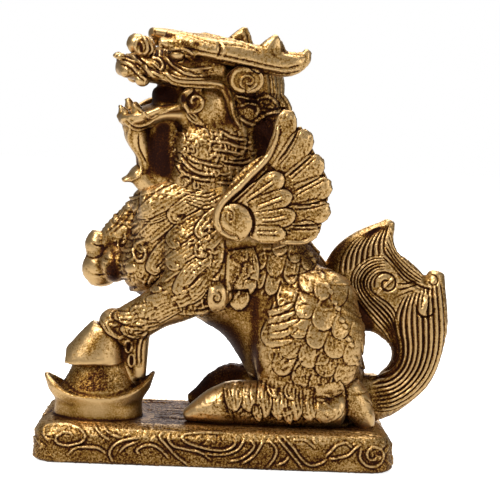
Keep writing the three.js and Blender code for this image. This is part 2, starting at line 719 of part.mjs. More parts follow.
// What the head has on each side. m is 1 on the near side and -1 on the far side.
function faceSide(m) {
  const antler = [
    [15.8, m * 4, 11, 1.7, 1.2],
    [12.4, m * 5.2, 10.2, 2.8, 1.9],
    [8.4, m * 6.8, 9, 3.2, 2.5],
    [3.6, m * 8.2, 8.6, 3.2, 2.8],
    [-1.4, m * 9.6, 7.7, 3, 2.8],
    [-6, m * 10.8, 7, 2.7, 2.8],
    [-10, m * 11.8, 6.8, 2.3, 2.6],
    [-12.8, m * 12.3, 8, 1.7, 1.8],
    [-13.8, m * 12.5, 9.8, 0.9, 0.9],
  ];
  const prong = [
    [-6.6, m * 10.6, 8.2, 2, 3],
    [-6.4, m * 10.8, 10.6, 1.5, 1.8],
    [-6.2, m * 11, 12.6, 0.8, 0.8],
  ];
  const lip = [
    [21.5, m * 5.8, 3.4, 0.8],
    [19, m * 7, 2.8, 0.8],
    [13.6, m * 8.4, 1.6, 0.9],
    [8.2, m * 9.4, 1.4, 0.9],
    [4.5, m * 9.8, 1.2, 0.9],
    [2.4, m * 9.8, -1.3, 0.9],
    [1, m * 9.4, -4.8, 0.9],
    [-1.3, m * 9, -8.4, 0.8],
  ];
  const cheekCurl = Array.from({ length: 7 }, (_, k) => {
    const angle = (120 - 50 * k) * degrees;
    const r = 2.9 - 0.27 * k;
    return [10.2 + r * Math.cos(angle), m * (8.7 + 0.1 * k), -2.4 + r * Math.sin(angle), 0.8];
  });
  const brow = [
    [17, m * 4.6, 9.4, 1.3],
    [14.2, m * 6.6, 9.2, 1.3],
    [10.4, m * 8, 7, 1.2],
  ];
  const lowerLip = [
    [13, m * 7.8, -4, 0.8],
    [16.2, m * 7, -4.6, 0.8],
    [19.4, m * 5.8, -6.2, 0.8],
    [22, m * 4.4, -7, 0.8],
    [24.2, m * 2.2, -7.8, 0.6],
  ];
  return [
    headLimb(antler, 9, 11),
    headLimb(prong, 7, 3),
    headLimb(lip, 5, 12),
    headLimb(cheekCurl, 5, 8),
    headLimb(brow, 6, 4),
    headLimb(lowerLip, 5, 7),
    headEgg([5.6, m * 4.4, -4.4], [7.4, 5.2, 6.6]), // cheek
    headEgg([20.6, m * 3.4, 8.2], [2.4, 2, 2.4], [8, 6]), // nostril
    headEgg([13.5, m * 5.8, 7.3], [2, 2, 1.7], [8, 6]), // eye
    headEgg([-0.7, m * 10.2, 3], [4.2, 2, 2.7], [10, 6]), // ear
    headEgg([11, m * 6.4, 3], [4.4, 3.4, 2.6], [8, 6]), // pouch below the eye
    tooth([21.4, m * 4.3, 3], [21.2, m * 4.6, -0.6], 1.2),
    tooth([24.4, m * 1.6, 3.6], [24.8, m * 1.6, 1.6], 1.1),
    tooth([22.4, m * 3.2, -8], [22, m * 3.4, -4], 1.1),
    tooth([23.6, m * 1.3, -8], [23.6, m * 1.3, -5.4], 1.1),
  ];
}

function tooth(root, tip, radius) {
  return headLimb([[...root, radius], [...tip, radius * 0.3]], 6, 2);
}

// Hair down the back of the neck, in locks that lie side by side and curl away at their ends.
function mane() {
  const locks = [];
  for (const [row, z] of [84, 77, 70].entries()) {
    for (const across of [-6, -2, 2, 6]) {
      const y = across - 2 + 0.6 * row;
      const back = 12 - 0.1 * across * across;
      locks.push(
        limb(
          [
            [back - 3 + row, y, z, 2, 2],
            [back + 0.8 + row, y, z - 4, 2, 2],
            [back + 1.2 + row, y, z - 8, 1.6, 1.6],
            [back + 3 + row, y * 1.1, z - 10.4, 0.8, 0.8],
          ],
          { sides: 6, steps: 5 },
        ),
      );
    }
  }
  return locks;
}

// Broad plates across the chest and belly.
function breastPlates() {
  const rows = [
    [-19.6, 58],
    [-18.4, 52],
    [-16.2, 46.4],
    [-12.8, 41],
    [-8, 36],
  ];
  return rows.map(([x, z]) =>
    limb(
      [
        [x + 5, -8.4, z - 1.6, 1.4, 2.4],
        [x + 1.6, -4.4, z - 0.4, 1.6, 2.8],
        [x + 0.4, 0, z, 1.7, 3],
        [x + 1.6, 4.4, z - 0.4, 1.6, 2.8],
        [x + 5, 8.4, z - 1.6, 1.4, 2.4],
      ],
      { sides: 6, steps: 6, side: new THREE.Vector3(1, 0, -0.6).normalize() },
    ),
  );
}

// The outer skin alone, so that no void stays sealed between parts that meet.
function withoutVoids(made) {
  const skins = made.decompose().sort((one, other) => other.volume() - one.volume());
  return skins[0];
}

function statue() {
  const body = joined([
    trunk(),
    bothSides(hindLeg),
    ingotLeg(),
    raisedLeg(),
    skullAndJaws(),
  ]);
  const outside = outsideOf(body);
  return joined([
    body,
    baseSlab(),
    cloudScrolls(),
    ingotOnBase(),
    breastPlates(),
    backRidge(),
    flankScales(outside),
    bothSides((side) => [bodyLocks(side, outside), footLeaves(side, outside)]),
    bothSides(wingOn),
    tail(),
    [1, -1].map(faceSide),
    mane(),
  ]);
}

// The plane-distance form of a vertex: ten sums over its faces, weighted by their areas.
function planeForms(points, faces) {
  const forms = points.map(() => new Float64Array(10));
  for (const [a, b, c] of faces) {
    const normal = faceNormal(points[a], points[b], points[c]);
    const area = normal.length() || 1e-12;
    normal.divideScalar(area);
    const { x, y, z } = normal;
    const w = -normal.dot(points[a]);
    const terms = [x * x, x * y, x * z, x * w, y * y, y * z, y * w, z * z, z * w, w * w];
    for (const corner of [a, b, c]) terms.forEach((term, i) => (forms[corner][i] += term * area));
  }
  return forms;
}

function faceNormal(a, b, c) {
  return b.clone().sub(a).cross(c.clone().sub(a));
}

// How far a point lies from the planes that a form sums up.
function formError(q, { x, y, z }) {
  const square = q[0] * x * x + q[4] * y * y + q[7] * z * z + q[9];
  return square + 2 * (q[1] * x * y + q[2] * x * z + q[3] * x + q[5] * y * z + q[6] * y + q[8] * z);
}

// Takes out the edges that the form misses least, until few enough triangles are left.
function lighten(points, triangles, most) {
  const faces = triangles.map((face) => [...face]);
  const around = points.map(() => new Set());
  faces.forEach((face, i) => face.forEach((corner) => around[corner].add(i)));
  const forms = planeForms(points, faces);
  let left = faces.length;

  const neighbours = (corner) => new Set([...around[corner]].flatMap((i) => faces[i]));
  const turnsOver = (moved, other, target) =>
    [...around[moved]].some((i) => {
      if (faces[i].includes(other)) return false;
      const before = faces[i].map((corner) => points[corner]);
      const after = faces[i].map((corner) => (corner === moved ? target : points[corner]));
      const [old, now] = [faceNormal(...before), faceNormal(...after)];
      return old.dot(now) < 0.25 * old.length() * now.length() || now.length() < 1e-3;
    });
  const bestEdge = (a, b) => {
    const form = forms[a].map((term, i) => term + forms[b][i]);
    const middle = points[a].clone().add(points[b]).multiplyScalar(0.5);
    const tries = [middle, points[a], points[b]].map((target) => ({ target, cost: formError(form, target) }));
    const { target, cost } = tries.sort((one, other) => one.cost - other.cost)[0];
    return { a, b, form, target, cost: cost + 1e-4 * points[a].distanceToSquared(points[b]) };
  };

  while (left > most) {
    const edges = [];
    faces.forEach((face) => {
      if (!face) return;
      const [a, b, c] = face;
      for (const [from, to] of [[a, b], [b, c], [c, a]]) if (from < to) edges.push(bestEdge(from, to));
    });
    edges.sort((one, other) => one.cost - other.cost);
    const touched = new Set();
    const before = left;
    for (const { a, b, form, target } of edges.slice(0, Math.ceil(edges.length / 4))) {
      if (left <= most) break;
      if (touched.has(a) || touched.has(b)) continue;
      const [nearA, nearB] = [neighbours(a), neighbours(b)];
      if ([...nearA].filter((corner) => nearB.has(corner)).length !== 4) continue;
      if (turnsOver(a, b, target) || turnsOver(b, a, target)) continue;
      for (const i of [...around[b]]) {
        if (faces[i].includes(a)) {
          faces[i].forEach((corner) => around[corner].delete(i));
          faces[i] = null;
          left--;
        } else {
          faces[i] = faces[i].map((corner) => (corner === b ? a : corner));
          around[a].add(i);
        }
      }
      around[b].clear();
      points[a] = target.clone();
      forms[a] = form;
      [...nearA, ...nearB].forEach((corner) => touched.add(corner));
    }
    if (left === before) break;
  }
  return faces.filter(Boolean);
}

// A mesh of the joined solid, with no more triangles than a faceted casting needs.
function meshOf(made, name, finish, most) {
  const { numProp, vertProperties, triVerts } = made.getMesh();
  const points = [];
  for (let i = 0; i < vertProperties.length; i += numProp) {
    points.push(new THREE.Vector3(...vertProperties.subarray(i, i + 3)));
  }
  const faces = [];
  for (let i = 0; i < triVerts.length; i += 3) faces.push([...triVerts.subarray(i, i + 3)]);
  const kept = lighten(points, faces, most);
  const geometry = new THREE.BufferGeometry().setFromPoints(kept.flat().map((corner) => points[corner]));
  geometry.computeVertexNormals();
  const mesh = new THREE.Mesh(geometry, new THREE.MeshStandardMaterial(finish));
  mesh.name = name;
  return mesh;
}

const group = new THREE.Group();
group.add(meshOf(withoutVoids(statue()), "qilin_statue", brass, mostTriangles));

export default group;
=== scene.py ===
# Antiqued brass qilin with one fore hoof on an ingot. One casting, sculpted here in millimetres.
# -X is where the animal looks, -Y is the side of the ingot leg, +Z is up.
import math
import time
import bpy
import numpy as np
import openvdb
from mathutils import Matrix, Vector


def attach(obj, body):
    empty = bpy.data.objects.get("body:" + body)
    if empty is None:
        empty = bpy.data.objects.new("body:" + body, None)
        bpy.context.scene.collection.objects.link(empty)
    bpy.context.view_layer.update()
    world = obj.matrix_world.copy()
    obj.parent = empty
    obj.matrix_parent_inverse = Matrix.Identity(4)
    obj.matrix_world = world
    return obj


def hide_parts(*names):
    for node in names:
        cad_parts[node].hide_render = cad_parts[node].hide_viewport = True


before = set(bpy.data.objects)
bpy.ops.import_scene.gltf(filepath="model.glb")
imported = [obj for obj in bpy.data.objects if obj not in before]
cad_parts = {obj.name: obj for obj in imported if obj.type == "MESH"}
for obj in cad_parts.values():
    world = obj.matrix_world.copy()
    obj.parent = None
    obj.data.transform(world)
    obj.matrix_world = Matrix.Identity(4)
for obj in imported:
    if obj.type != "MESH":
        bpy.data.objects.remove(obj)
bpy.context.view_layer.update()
started = time.time()

millimetre = 0.001
near, far = -1, 1  # the side of the ingot leg, and the other side
bothSides = (near, far)
upright = np.array((0.0, 0.0, 1.0))
sideways = np.array((0.0, 1.0, 0.0))
right, ahead = (1, 0, 0), (0, 1, 0)  # as the photograph's viewer has them


def report(stage):
    print(f"{time.time() - started:6.1f} s  {stage}")


# Clay: a block of points that each hold their distance to the surface, in mm
farAway = 4.0  # what a point holds while nothing is near


def newClay(low, high, voxel):
    axes = [np.arange(a, b + voxel, voxel, dtype=np.float32) for a, b in zip(low, high)]
    field = np.full([len(axis) for axis in axes], farAway, np.float32)
    return {"axes": axes, "field": field, "voxel": voxel}


def clayWindow(clay, low, high):
    cuts = []
    for axis, a, b in zip(clay["axes"], low, high):
        first, last = np.searchsorted(axis, (a, b))
        cuts.append(slice(int(first), max(int(last), int(first))))
    x, y, z = (axis[cut] for axis, cut in zip(clay["axes"], cuts))
    return tuple(cuts), x[:, None, None], y[None, :, None], z[None, None, :]


# The lower of two distances, with a fillet of about the size of soft where they meet
def softMin(a, b, soft):
    share = np.clip(0.5 + 0.5 * (b - a) / soft, 0, 1)
    return b + (a - b) * share - soft * share * (1 - share)


# Adds a shape to the clay, or cuts it away
def press(clay, cuts, shape, soft, cut=False):
    field = clay["field"][cuts]
    if cut:
        clay["field"][cuts] = -softMin(-field, shape, soft)
    else:
        clay["field"][cuts] = softMin(field, shape, soft)


# A smooth line through rows of numbers, the same way through points, sizes or both
def smoothLine(rows, steps):
    rows = np.asarray(rows, float)
    padded = np.vstack([2 * rows[0] - rows[1], rows, 2 * rows[-1] - rows[-2]])
    t = np.linspace(0, len(rows) - 1, steps + 1)
    k = np.minimum(t.astype(int), len(rows) - 2)
    u = (t - k)[:, None]
    a, b, c, d = padded[k], padded[k + 1], padded[k + 2], padded[k + 3]
    return b + 0.5 * u * (c - a + u * (2 * a - 5 * b + 4 * c - d + u * (3 * b - a - 3 * c + d)))


# About how far a place is from an egg's surface, negative inside
def ovalDistance(parts, radii):
    scaled = sum((p / r) ** 2 for p, r in zip(parts, radii))
    steep = sum((p / r ** 2) ** 2 for p, r in zip(parts, radii))
    reach = np.sqrt(scaled)
    return reach * (reach - 1) / np.sqrt(steep)


# A limb along a smooth line, from rows of x, y, z, half size across and half size along.
# Across is measured towards the side vector, and along is square to it and to the line.
def limb(clay, rows, soft=1.0, side=sideways, steps=None, cap=0.5):
    rows = [list(row) + [row[3]] if len(row) == 4 else list(row) for row in rows]
    path = smoothLine(rows, steps or 4 * (len(rows) - 1)) if len(rows) > 2 else np.array(rows, float)
    margin = soft + 1.0
    reach = path[:, 3:].max() + margin
    low, high = path[:, :3].min(0) - reach, path[:, :3].max(0) + reach
    whole, *_ = clayWindow(clay, low, high)
    shape = np.full([cut.stop - cut.start for cut in whole], margin + 2, np.float32)
    for a, b in zip(path[:-1], path[1:]):
        line = b[:3] - a[:3]
        length = np.linalg.norm(line)
        if length < 1e-6:
            continue
        tangent = line / length
        across = side - side.dot(tangent) * tangent
        across /= np.linalg.norm(across)
        along = np.cross(tangent, across)
        size = max(a[3:].max(), b[3:].max()) + margin
        part, x, y, z = clayWindow(clay, np.minimum(a[:3], b[:3]) - size, np.maximum(a[:3], b[:3]) + size)
        inner = tuple(slice(p.start - w.start, p.stop - w.start) for p, w in zip(part, whole))
        dx, dy, dz = x - a[0], y - a[1], z - a[2]
        t = np.clip((dx * line[0] + dy * line[1] + dz * line[2]) / length ** 2, 0, 1).astype(np.float32)
        dx, dy, dz = dx - t * line[0], dy - t * line[1], dz - t * line[2]
        width = a[3] + (b[3] - a[3]) * t
        depth = a[4] + (b[4] - a[4]) * t
        parts = [dx * v[0] + dy * v[1] + dz * v[2] for v in (across, along, tangent)]
        parts[0] = parts[0] + 1e-3  # never quite at the middle, where the division would fail
        distance = ovalDistance(parts, (width, depth, cap * np.minimum(width, depth)))
        np.minimum(shape[inner], distance, out=shape[inner])
    press(clay, whole, shape, soft)


# An egg with its own three half sizes, along the rows of a turned frame
def egg(clay, centre, radii, turned=np.eye(3), soft=1.0, cut=False):
    centre, radii = np.asarray(centre, float), np.asarray(radii, float)
    reach = radii.max() + soft + 1
    cuts, x, y, z = clayWindow(clay, centre - reach, centre + reach)
    dx, dy, dz = x - centre[0], y - centre[1], z - centre[2]
    parts = [dx * v[0] + dy * v[1] + dz * v[2] for v in turned]
    parts[0] = parts[0] + 1e-3
    press(clay, cuts, ovalDistance(parts, radii).astype(np.float32), soft, cut)


# A slab between two heights whose round-cornered outline is drawn in where inset says
def roundSlab(clay, halfX, halfY, corner, bottom, top, inset):
    around = 2.0
    cuts, x, y, z = clayWindow(clay, (-halfX - around, -halfY - around, bottom - around),
                               (halfX + around, halfY + around, top + around))
    drawn = inset(z)
    qx = np.abs(x) - halfX + corner + drawn
    qy = np.abs(y) - halfY + corner + drawn
    outline = np.hypot(np.maximum(qx, 0), np.maximum(qy, 0)) + np.minimum(np.maximum(qx, qy), 0) - corner
    levels = np.maximum(bottom - z, z - top)
    edgeRounding = 1.2
    press(clay, cuts, -softMin(-outline, -levels, edgeRounding).astype(np.float32), 0.6)


def blurAlong(values, radius, axis):  # a box average
    count = 2 * radius + 1
    padding = [(0, 0)] * values.ndim
    padding[axis] = (radius + 1, radius)
    total = np.cumsum(np.pad(values, padding, mode="edge"), axis=axis, dtype=np.float64)
    ends = [slice(None)] * values.ndim
    starts = list(ends)
    ends[axis], starts[axis] = slice(count, None), slice(None, -count)
    return ((total[tuple(ends)] - total[tuple(starts)]) / count).astype(np.float32)


def blur(values, radius):
    for _ in range(3):  # three box averages make a soft one
        for axis in range(values.ndim):
            values = blurAlong(values, radius, axis)
    return values


# The value of a block of numbers at points between its own
def sampleBlock(block, axes, points):
    index, share = [], []
    for k, axis in enumerate(axes):
        place = np.clip((points[:, k] - axis[0]) / (axis[1] - axis[0]), 0, len(axis) - 1.001)
        index.append(place.astype(int))
        share.append(place - place.astype(int))
    result = 0
    for corner in np.ndindex(*[2] * len(axes)):
        weight = 1
        for s, c in zip(share, corner):
            weight = weight * (s if c else 1 - s)
        result = result + weight * block[tuple(i + c for i, c in zip(index, corner))]
    return result


# Relief: sheets that hold a height for each point of a view, painted stroke by stroke. Beside the height
# in mm they hold, from 0 to 1, how grainy the brass is there, how dark with stain and painted shade, and how
# polished.
sheetPitch = 0.1  # mm between a sheet's points


def newSheet(low, high):
    u, v = (np.arange(a, b, sheetPitch) for a, b in zip(low, high))
    layers = {key: np.zeros((len(u), len(v)), np.float32) for key in ("height", "grain", "dark", "polish")}
    return {"u": u, "v": v, **layers}


def sheetWindow(sheet, points, margin):
    points = np.asarray(points, float)
    low, high = points.min(0) - margin, points.max(0) + margin
    a, b = np.searchsorted(sheet["u"], (low[0], high[0]))
    c, d = np.searchsorted(sheet["v"], (low[1], high[1]))
    return (slice(a, b), slice(c, d)), sheet["u"][a:b, None], sheet["v"][None, c:d]


# Distance to a line, how far along it the nearest point is as a share, and the line's length
def alongLine(sheet, line, reach):
    cuts, u, v = sheetWindow(sheet, line, reach)
    shape = (u.shape[0], v.shape[1])
    best, share = np.full(shape, 1e6), np.zeros(shape)
    steps = np.diff(line, axis=0)
    lengths = np.hypot(*steps.T)
    run = np.concatenate([[0], np.cumsum(lengths)])
    for a, step, length, start in zip(line, steps, lengths, run):
        if length < 1e-9:
            continue
        part, pu, pv = sheetWindow(sheet, [a, a + step], reach)
        inner = tuple(slice(p.start - c.start, p.stop - c.start) for p, c in zip(part, cuts))
        du, dv = pu - a[0], pv - a[1]
        t = np.clip((du * step[0] + dv * step[1]) / length ** 2, 0, 1)
        distance = np.hypot(du - t * step[0], dv - t * step[1])
        closer = distance < best[inner]
        best[inner] = np.where(closer, distance, best[inner])
        share[inner] = np.where(closer, (start + t * length) / run[-1], share[inner])
    return cuts, best, share, run[-1]


# A round bump, 1 in the middle and 0 from its width on
def bead(distance, width):
    return np.maximum(1 - (distance / width) ** 2, 0) ** 2


def softLine(points):
    return smoothLine(points, 8 * (len(points) - 1)) if len(points) > 2 else np.asarray(points, float)


# A raised line. A negative height cuts it in, and a gap makes it a pair of lines that far from the middle.
def stroke(sheet, points, width, height, gap=0, taper=0.35, dark=0.0):
    line = softLine(points)
    cuts, distance, share, length = alongLine(sheet, line, width + gap + 0.3)
    ends = np.clip(np.minimum(share, 1 - share) * length / (3 * width), 0, 1)
    shape = bead(np.abs(distance - gap), width * (1 - taper + taper * ends)) * (0.4 + 0.6 * ends)
    sheet["height"][cuts] += height * shape
    sheet["dark"][cuts] += dark * shape


# A thin ridge between two stained grooves
def ridge(sheet, points, width, height, groove=0.2, dark=0.55):
    stroke(sheet, points, 0.3, -groove, gap=width + 0.22, dark=dark)
    stroke(sheet, points, width, height, dark=-0.6)


# A blade along a line that covers what lies under it, such as a lock, a feather, a leaf or a scale
def petal(sheet, points, width, lift, dome, rim=0.15, rimWidth=0.3, ribs=0, root=0.5, tip=0.35,
          grain=0.0, polish=0.0, groove=0.6):
    line = softLine(points)
    cuts, distance, share, length = alongLine(sheet, line, width + 0.6)
    grown = root + (1 - root) * np.clip(share / 0.35, 0, 1) ** 0.7
    closing = np.sqrt(np.clip(1 - (np.maximum(share - (1 - tip), 0) / tip) ** 2, 0, 1))
    half = width * grown * closing
    inside = (distance < half) & (share > 0)
    margin = half - distance
    across = np.clip(distance / np.maximum(half, 0.05), 0, 1)
    height = lift[0] + (lift[1] - lift[0]) * share + dome * (1 - across ** 2)
    height += rim * bead(margin - rimWidth, rimWidth)
    if ribs:
        height -= 0.09 * (1 - np.cos(2 * math.pi * distance / ribs)) * (margin > rimWidth)
    height *= np.clip(margin / 0.22, 0, 1) ** 0.5 * (0.5 + 0.5 * np.clip(share * length, 0, 1))
    sheet["height"][cuts] = np.where(inside, height, sheet["height"][cuts])
    inner = inside & (margin > 1.4 * rimWidth)
    sheet["grain"][cuts] = np.where(inside, grain * inner, sheet["grain"][cuts])
    sheet["polish"][cuts] = np.where(inside, polish, sheet["polish"][cuts])
    ring = bead(distance - half - 0.12, 0.3) * (distance > half) * np.clip(3 * share, 0, 1)
    sheet["height"][cuts] -= 0.25 * groove * ring
    sheet["dark"][cuts] = np.where(inside, 0, np.maximum(sheet["dark"][cuts], groove * ring))


# Raised lines between two guides with cut ones between them, as a comb leaves them in hair
def comb(sheet, first, last, count, width, height, dark, wave=0.0):
    first, last = (smoothLine(g, 24) for g in (first, last))
    for k in range(2 * count + 1):
        line = first + (last - first) * k / (2 * count)
        if wave:
            along = np.linspace(0, 2 * math.pi, len(line))
            line = line + wave * np.stack([np.sin(along + 1.05 * k), np.cos(along * 1.3 + 0.85 * k)], 1)
        vary = 0.65 + 0.6 * (0.618 * k % 1)  # no two lines beside each other are alike
        if k % 2:
            stroke(sheet, line[::3], width, 0.6 * height * vary)
        else:
            stroke(sheet, line[::3], 0.85 * width * vary, -height * vary, dark=dark * vary)


# Points that wind round a centre, from a radius in to a share of it
def windIn(centre, radius, turns, direction, start, squash=1.0, inner=0.2, count=9):
    points = []
    for k in range(count):
        t = k / (count - 1)
        angle = math.radians(start + direction * 360 * turns * t)
        r = radius * (1 - (1 - inner) * t)
        points.append([centre[0] + r * squash * math.cos(angle), centre[1] + r * math.sin(angle)])
    return points


def within(point, outline):
    crossings = 0
    for (ax, az), (bx, bz) in zip(outline, outline[1:] + outline[:1]):
        if (az > point[1]) != (bz > point[1]) and point[0] < ax + (bx - ax) * (point[1] - az) / (bz - az):
            crossings += 1
    return crossings % 2 == 1


# Small seeded hooks that fill a region, each turned about the heading by up to the spread, in degrees
def scatterHooks(sheet, outline, count, size, heading, spread, seed, height=0.3, dark=0.3):
    chance = np.random.default_rng(seed)
    low, high = np.min(outline, 0), np.max(outline, 0)
    while count > 0:
        place = chance.uniform(low, high)
        angle = math.radians(heading + chance.uniform(-spread, spread))
        bend = chance.choice((-1, 1)) * chance.uniform(0.4, 1.4)
        length = size * chance.uniform(0.7, 1.3)
        if not within(place, outline):
            continue
        points = [place]
        for _ in range(4):
            points.append(points[-1] + length / 4 * np.array((math.cos(angle), math.sin(angle))))
            angle += bend * 0.55
        stroke(sheet, points, 0.32, height, dark=0)
        stroke(sheet, [p + (0.45, -0.45) for p in points], 0.3, -0.5 * height, dark=dark)
        count -= 1


# The next three fill a band along a line with grain and stain, with painted shade or with polish
def fillGrain(sheet, points, width, amount, dark=0.0):
    cuts, distance, *_ = alongLine(sheet, softLine(points), width + 0.2)
    inside = np.clip((width - distance) / 0.8, 0, 1)
    sheet["grain"][cuts] = np.maximum(sheet["grain"][cuts], amount * inside)
    sheet["dark"][cuts] = np.maximum(sheet["dark"][cuts], dark * inside)


def shade(sheet, points, width, dark, fade=1.0):
    cuts, distance, *_ = alongLine(sheet, softLine(points), width + 0.2)
    inside = np.clip((width - distance) / fade, 0, 1)
    sheet["dark"][cuts] = np.maximum(sheet["dark"][cuts], dark * inside)


def gloss(sheet, points, width):
    cuts, distance, *_ = alongLine(sheet, softLine(points), width + 0.2)
    inside = np.clip((width - distance) / 0.6, 0, 1)
    sheet["polish"][cuts] = np.maximum(sheet["polish"][cuts], inside)


# The forms of the animal, in mm. A limb's rows are x, y, z, half size across and half size along.
head = {
    "middle": np.array((0.0, -3.0, 84.0)), "turn": math.radians(15), "tilt": math.radians(7),
    "antlerLead": 1.6,  # how much further forward the far antler reaches
    "voxel": 0.22, "triangles": 190000,  # the clay's pitch in mm, and the most triangles that are kept
}


def headAxes():
    turn, tilt = head["turn"], head["tilt"]
    forward = np.array((-math.cos(turn), -math.sin(turn), 0))
    level = np.array((math.sin(turn), -math.cos(turn), 0))
    toSide = level * math.cos(tilt) - upright * math.sin(tilt)
    return np.array((forward, toSide, upright * math.cos(tilt) + level * math.sin(tilt)))


head["axes"] = headAxes()


def headPoint(forward, side, up):
    return head["middle"] + np.array((forward, side, up)) @ head["axes"]


def headLimb(clay, rows, **options):
    placed = [[*headPoint(*row[:3]), *row[3:]] for row in rows]
    limb(clay, placed, side=head["axes"][1], **options)


def headEgg(clay, centre, radii, **options):
    egg(clay, headPoint(*centre), radii, turned=head["axes"], **options)


body = {"voxel": 0.26, "triangles": 190000}


def shapeTrunk(clay):
    limb(clay, [
        [22, 0, 9, 10.5, 12.4], [21.4, 0, 18, 12, 12.8], [17.6, 0, 28, 12, 13.6], [11.2, 0, 37.8, 11.8, 14.4],
        [2, 0, 45.8, 12, 16.2], [-7.4, 0, 51.6, 11.5, 15.4], [-14, 0, 56, 9.6, 9.4],
    ], soft=2)


def shapeShoulders(clay):
    for side in bothSides:
        limb(clay, [[-15, side * 4.4, 56, 6, 6.4], [-8, side * 6.6, 58, 6, 6.6],
                    [0, side * 7.4, 58.6, 6, 6.4]], soft=2)


def shapeNeck(clay):
    limb(clay, [
        [-4, 0, 55, 11, 14], [-1.4, -0.6, 63, 10, 12], [0.4, -1.5, 72, 9.4, 11.4], [1.8, -2.4, 80, 9, 10.6],
        [2, -3, 87, 8, 8],
    ], soft=2)
    for side in bothSides:  # the hollow before the wing
        egg(clay, (8.4, side * 10.6 - 1.4, 74), (3.4, 3.6, 4.6), soft=1, cut=True)


# Thigh, shin along the base, hoof, and the heel that stands out behind
def shapeHindLeg(clay, side):
    forward = 0 if side == near else 0.8  # mm that the far foot stands further back and higher
    limb(clay, [
        [26, side * 6, 40, 5, 6], [22.5, side * 8.4, 34.5, 6.2, 11], [20.5, side * 9, 26, 6.4, 12],
        [20.5, side * 8.6, 18.5, 5.2, 10.5], [21.5, side * 8, 14, 3.6, 7],
    ], soft=1.6)
    limb(clay, [
        [27.4, side * 8, 13, 5.2, 4.6], [19, side * 8.8, 13, 5, 4.6], [11, side * 9, 13.4, 4.6, 5],
        [4.2, side * 9.2, 13.4 + forward, 4.2, 5], [1 + forward, side * 9.3, 12.8 + forward, 3.8, 4.2],
    ], soft=0.8)
    limb(clay, [
        [3.4 + forward, side * 9.2, 12.6 + forward, 3.9, 4.3],
        [0.4 + forward, side * 9.3, 12.4 + forward, 4, 4.4], [-3.2 + forward, side * 9.4, 11.3, 3.3, 2.9],
        [-6.4 + forward, side * 9.5, 10.2, 2, 1.4],
    ], soft=0.4)
    limb(clay, [
        [30, side * 8.4, 17.5, 2.6, 3], [31.6, side * 8.6, 14, 2.6, 3.6], [33.6, side * 8.6, 11, 2.2, 2.6],
        [34.6, side * 8.6, 9, 1.6, 1.6],
    ], soft=0.5)


# The near foreleg down to its hoof, with the two thin cords of the pastern behind it
def shapeIngotLeg(clay):
    limb(clay, [
        [1, -8.5, 54, 4.4, 10], [-3, -9.6, 47.5, 5, 9.6], [-5.4, -10.4, 41, 5, 7.6],
        [-9.4, -9.8, 37, 4.8, 5.9], [-14, -8.6, 33.9, 4.4, 4.6], [-18.2, -7.4, 31, 4.2, 4.5],
        [-21.8, -6.6, 28.6, 4.2, 4.4],
    ], soft=1.2)
    egg(clay, (-1, -11.4, 38.4), (3.6, 4, 3.8), soft=0.6)
    egg(clay, (-23.8, -6.6, 29.8), (3.2, 4.2, 3.6), soft=0.5)
    egg(clay, (-20.0, -7, 31.4), (2.8, 4, 3.2), soft=0.5)
    limb(clay, [
        [-18.2, -6.6, 29, 3], [-17.9, -6.4, 25, 2.4], [-17.7, -6.2, 21.5, 2], [-17.4, -6, 18, 1.5],
    ], soft=0.5)
    limb(clay, [
        [-21.4, -5.6, 28, 2.6], [-20.4, -5.4, 23, 2.2], [-19.6, -5.2, 18, 2], [-19.6, -5.2, 14, 2],
    ], soft=0.5)


# The hoof on the ingot: a leaning cone with a flared foot, as rings of x, z, half length, half width and rise
def shapeIngotHoof(clay):
    rings = np.array([
        (-28.7, 20.9, 7.4, 5.4, 0), (-28.4, 21.8, 7.3, 5.4, -0.1), (-27.7, 23.4, 6.4, 5.2, -0.6),
        (-26.6, 25.4, 5.3, 4.8, -1.2), (-25.6, 27.2, 4.3, 4.4, -1.7), (-24.7, 28.5, 3.5, 4.0, -2.0),
    ])
    cuts, x, y, z = clayWindow(clay, (-37, -14, 18), (-15, 2, 32))
    level = z + 0 * x
    for _ in range(3):  # the rings lean, so a point's own ring depends on how far forward it is
        reach = np.clip((x - np.interp(level, rings[:, 1], rings[:, 0]))
                        / np.interp(level, rings[:, 1], rings[:, 2]), -1, 1)
        level = z - reach * np.interp(level, rings[:, 1], rings[:, 4])
    middle, length, width = (np.interp(level, rings[:, 1], rings[:, k]) for k in (0, 2, 3))
    outline = ovalDistance((x - middle + 1e-3, y + 6), (length, width))
    ends = np.maximum(rings[0, 1] - level, level - rings[-1, 1])
    press(clay, cuts, -softMin(-outline * 0.8, -ends, 0.5).astype(np.float32), 0.3)


def shapeRaisedLeg(clay):
    limb(clay, [
        [-4, 7.5, 54, 5, 10], [-11, 8, 52.6, 5.2, 9.6], [-18, 8, 50, 5.2, 8.6], [-23.2, 8, 48.4, 4.6, 5.6],
        [-27, 8, 47, 3.4, 2.8],
    ], soft=1.2)
    limb(clay, [
        [-28.9, 8, 48.8, 2.6, 2], [-29.1, 8, 46.8, 3.2, 2.9], [-28.6, 8, 44.4, 3.3, 3],
        [-28.2, 8, 42.2, 4.2, 4.2], [-27.9, 8, 40, 4.2, 4.4], [-27.7, 8, 38, 3.5, 3.1],
    ], soft=0.4)
    egg(clay, (-24.4, 5, 42.4), (3.6, 5, 4.4), soft=1.2)  # fills the crook behind the raised hoof
    lean = math.radians(20)
    turned = np.array(((math.cos(lean), 0, -math.sin(lean)), (0, 1, 0), (math.sin(lean), 0, math.cos(lean))))
    egg(clay, (-15.6, 1.4, 43.4), (7.4, 9.4, 8), turned, soft=1.6)


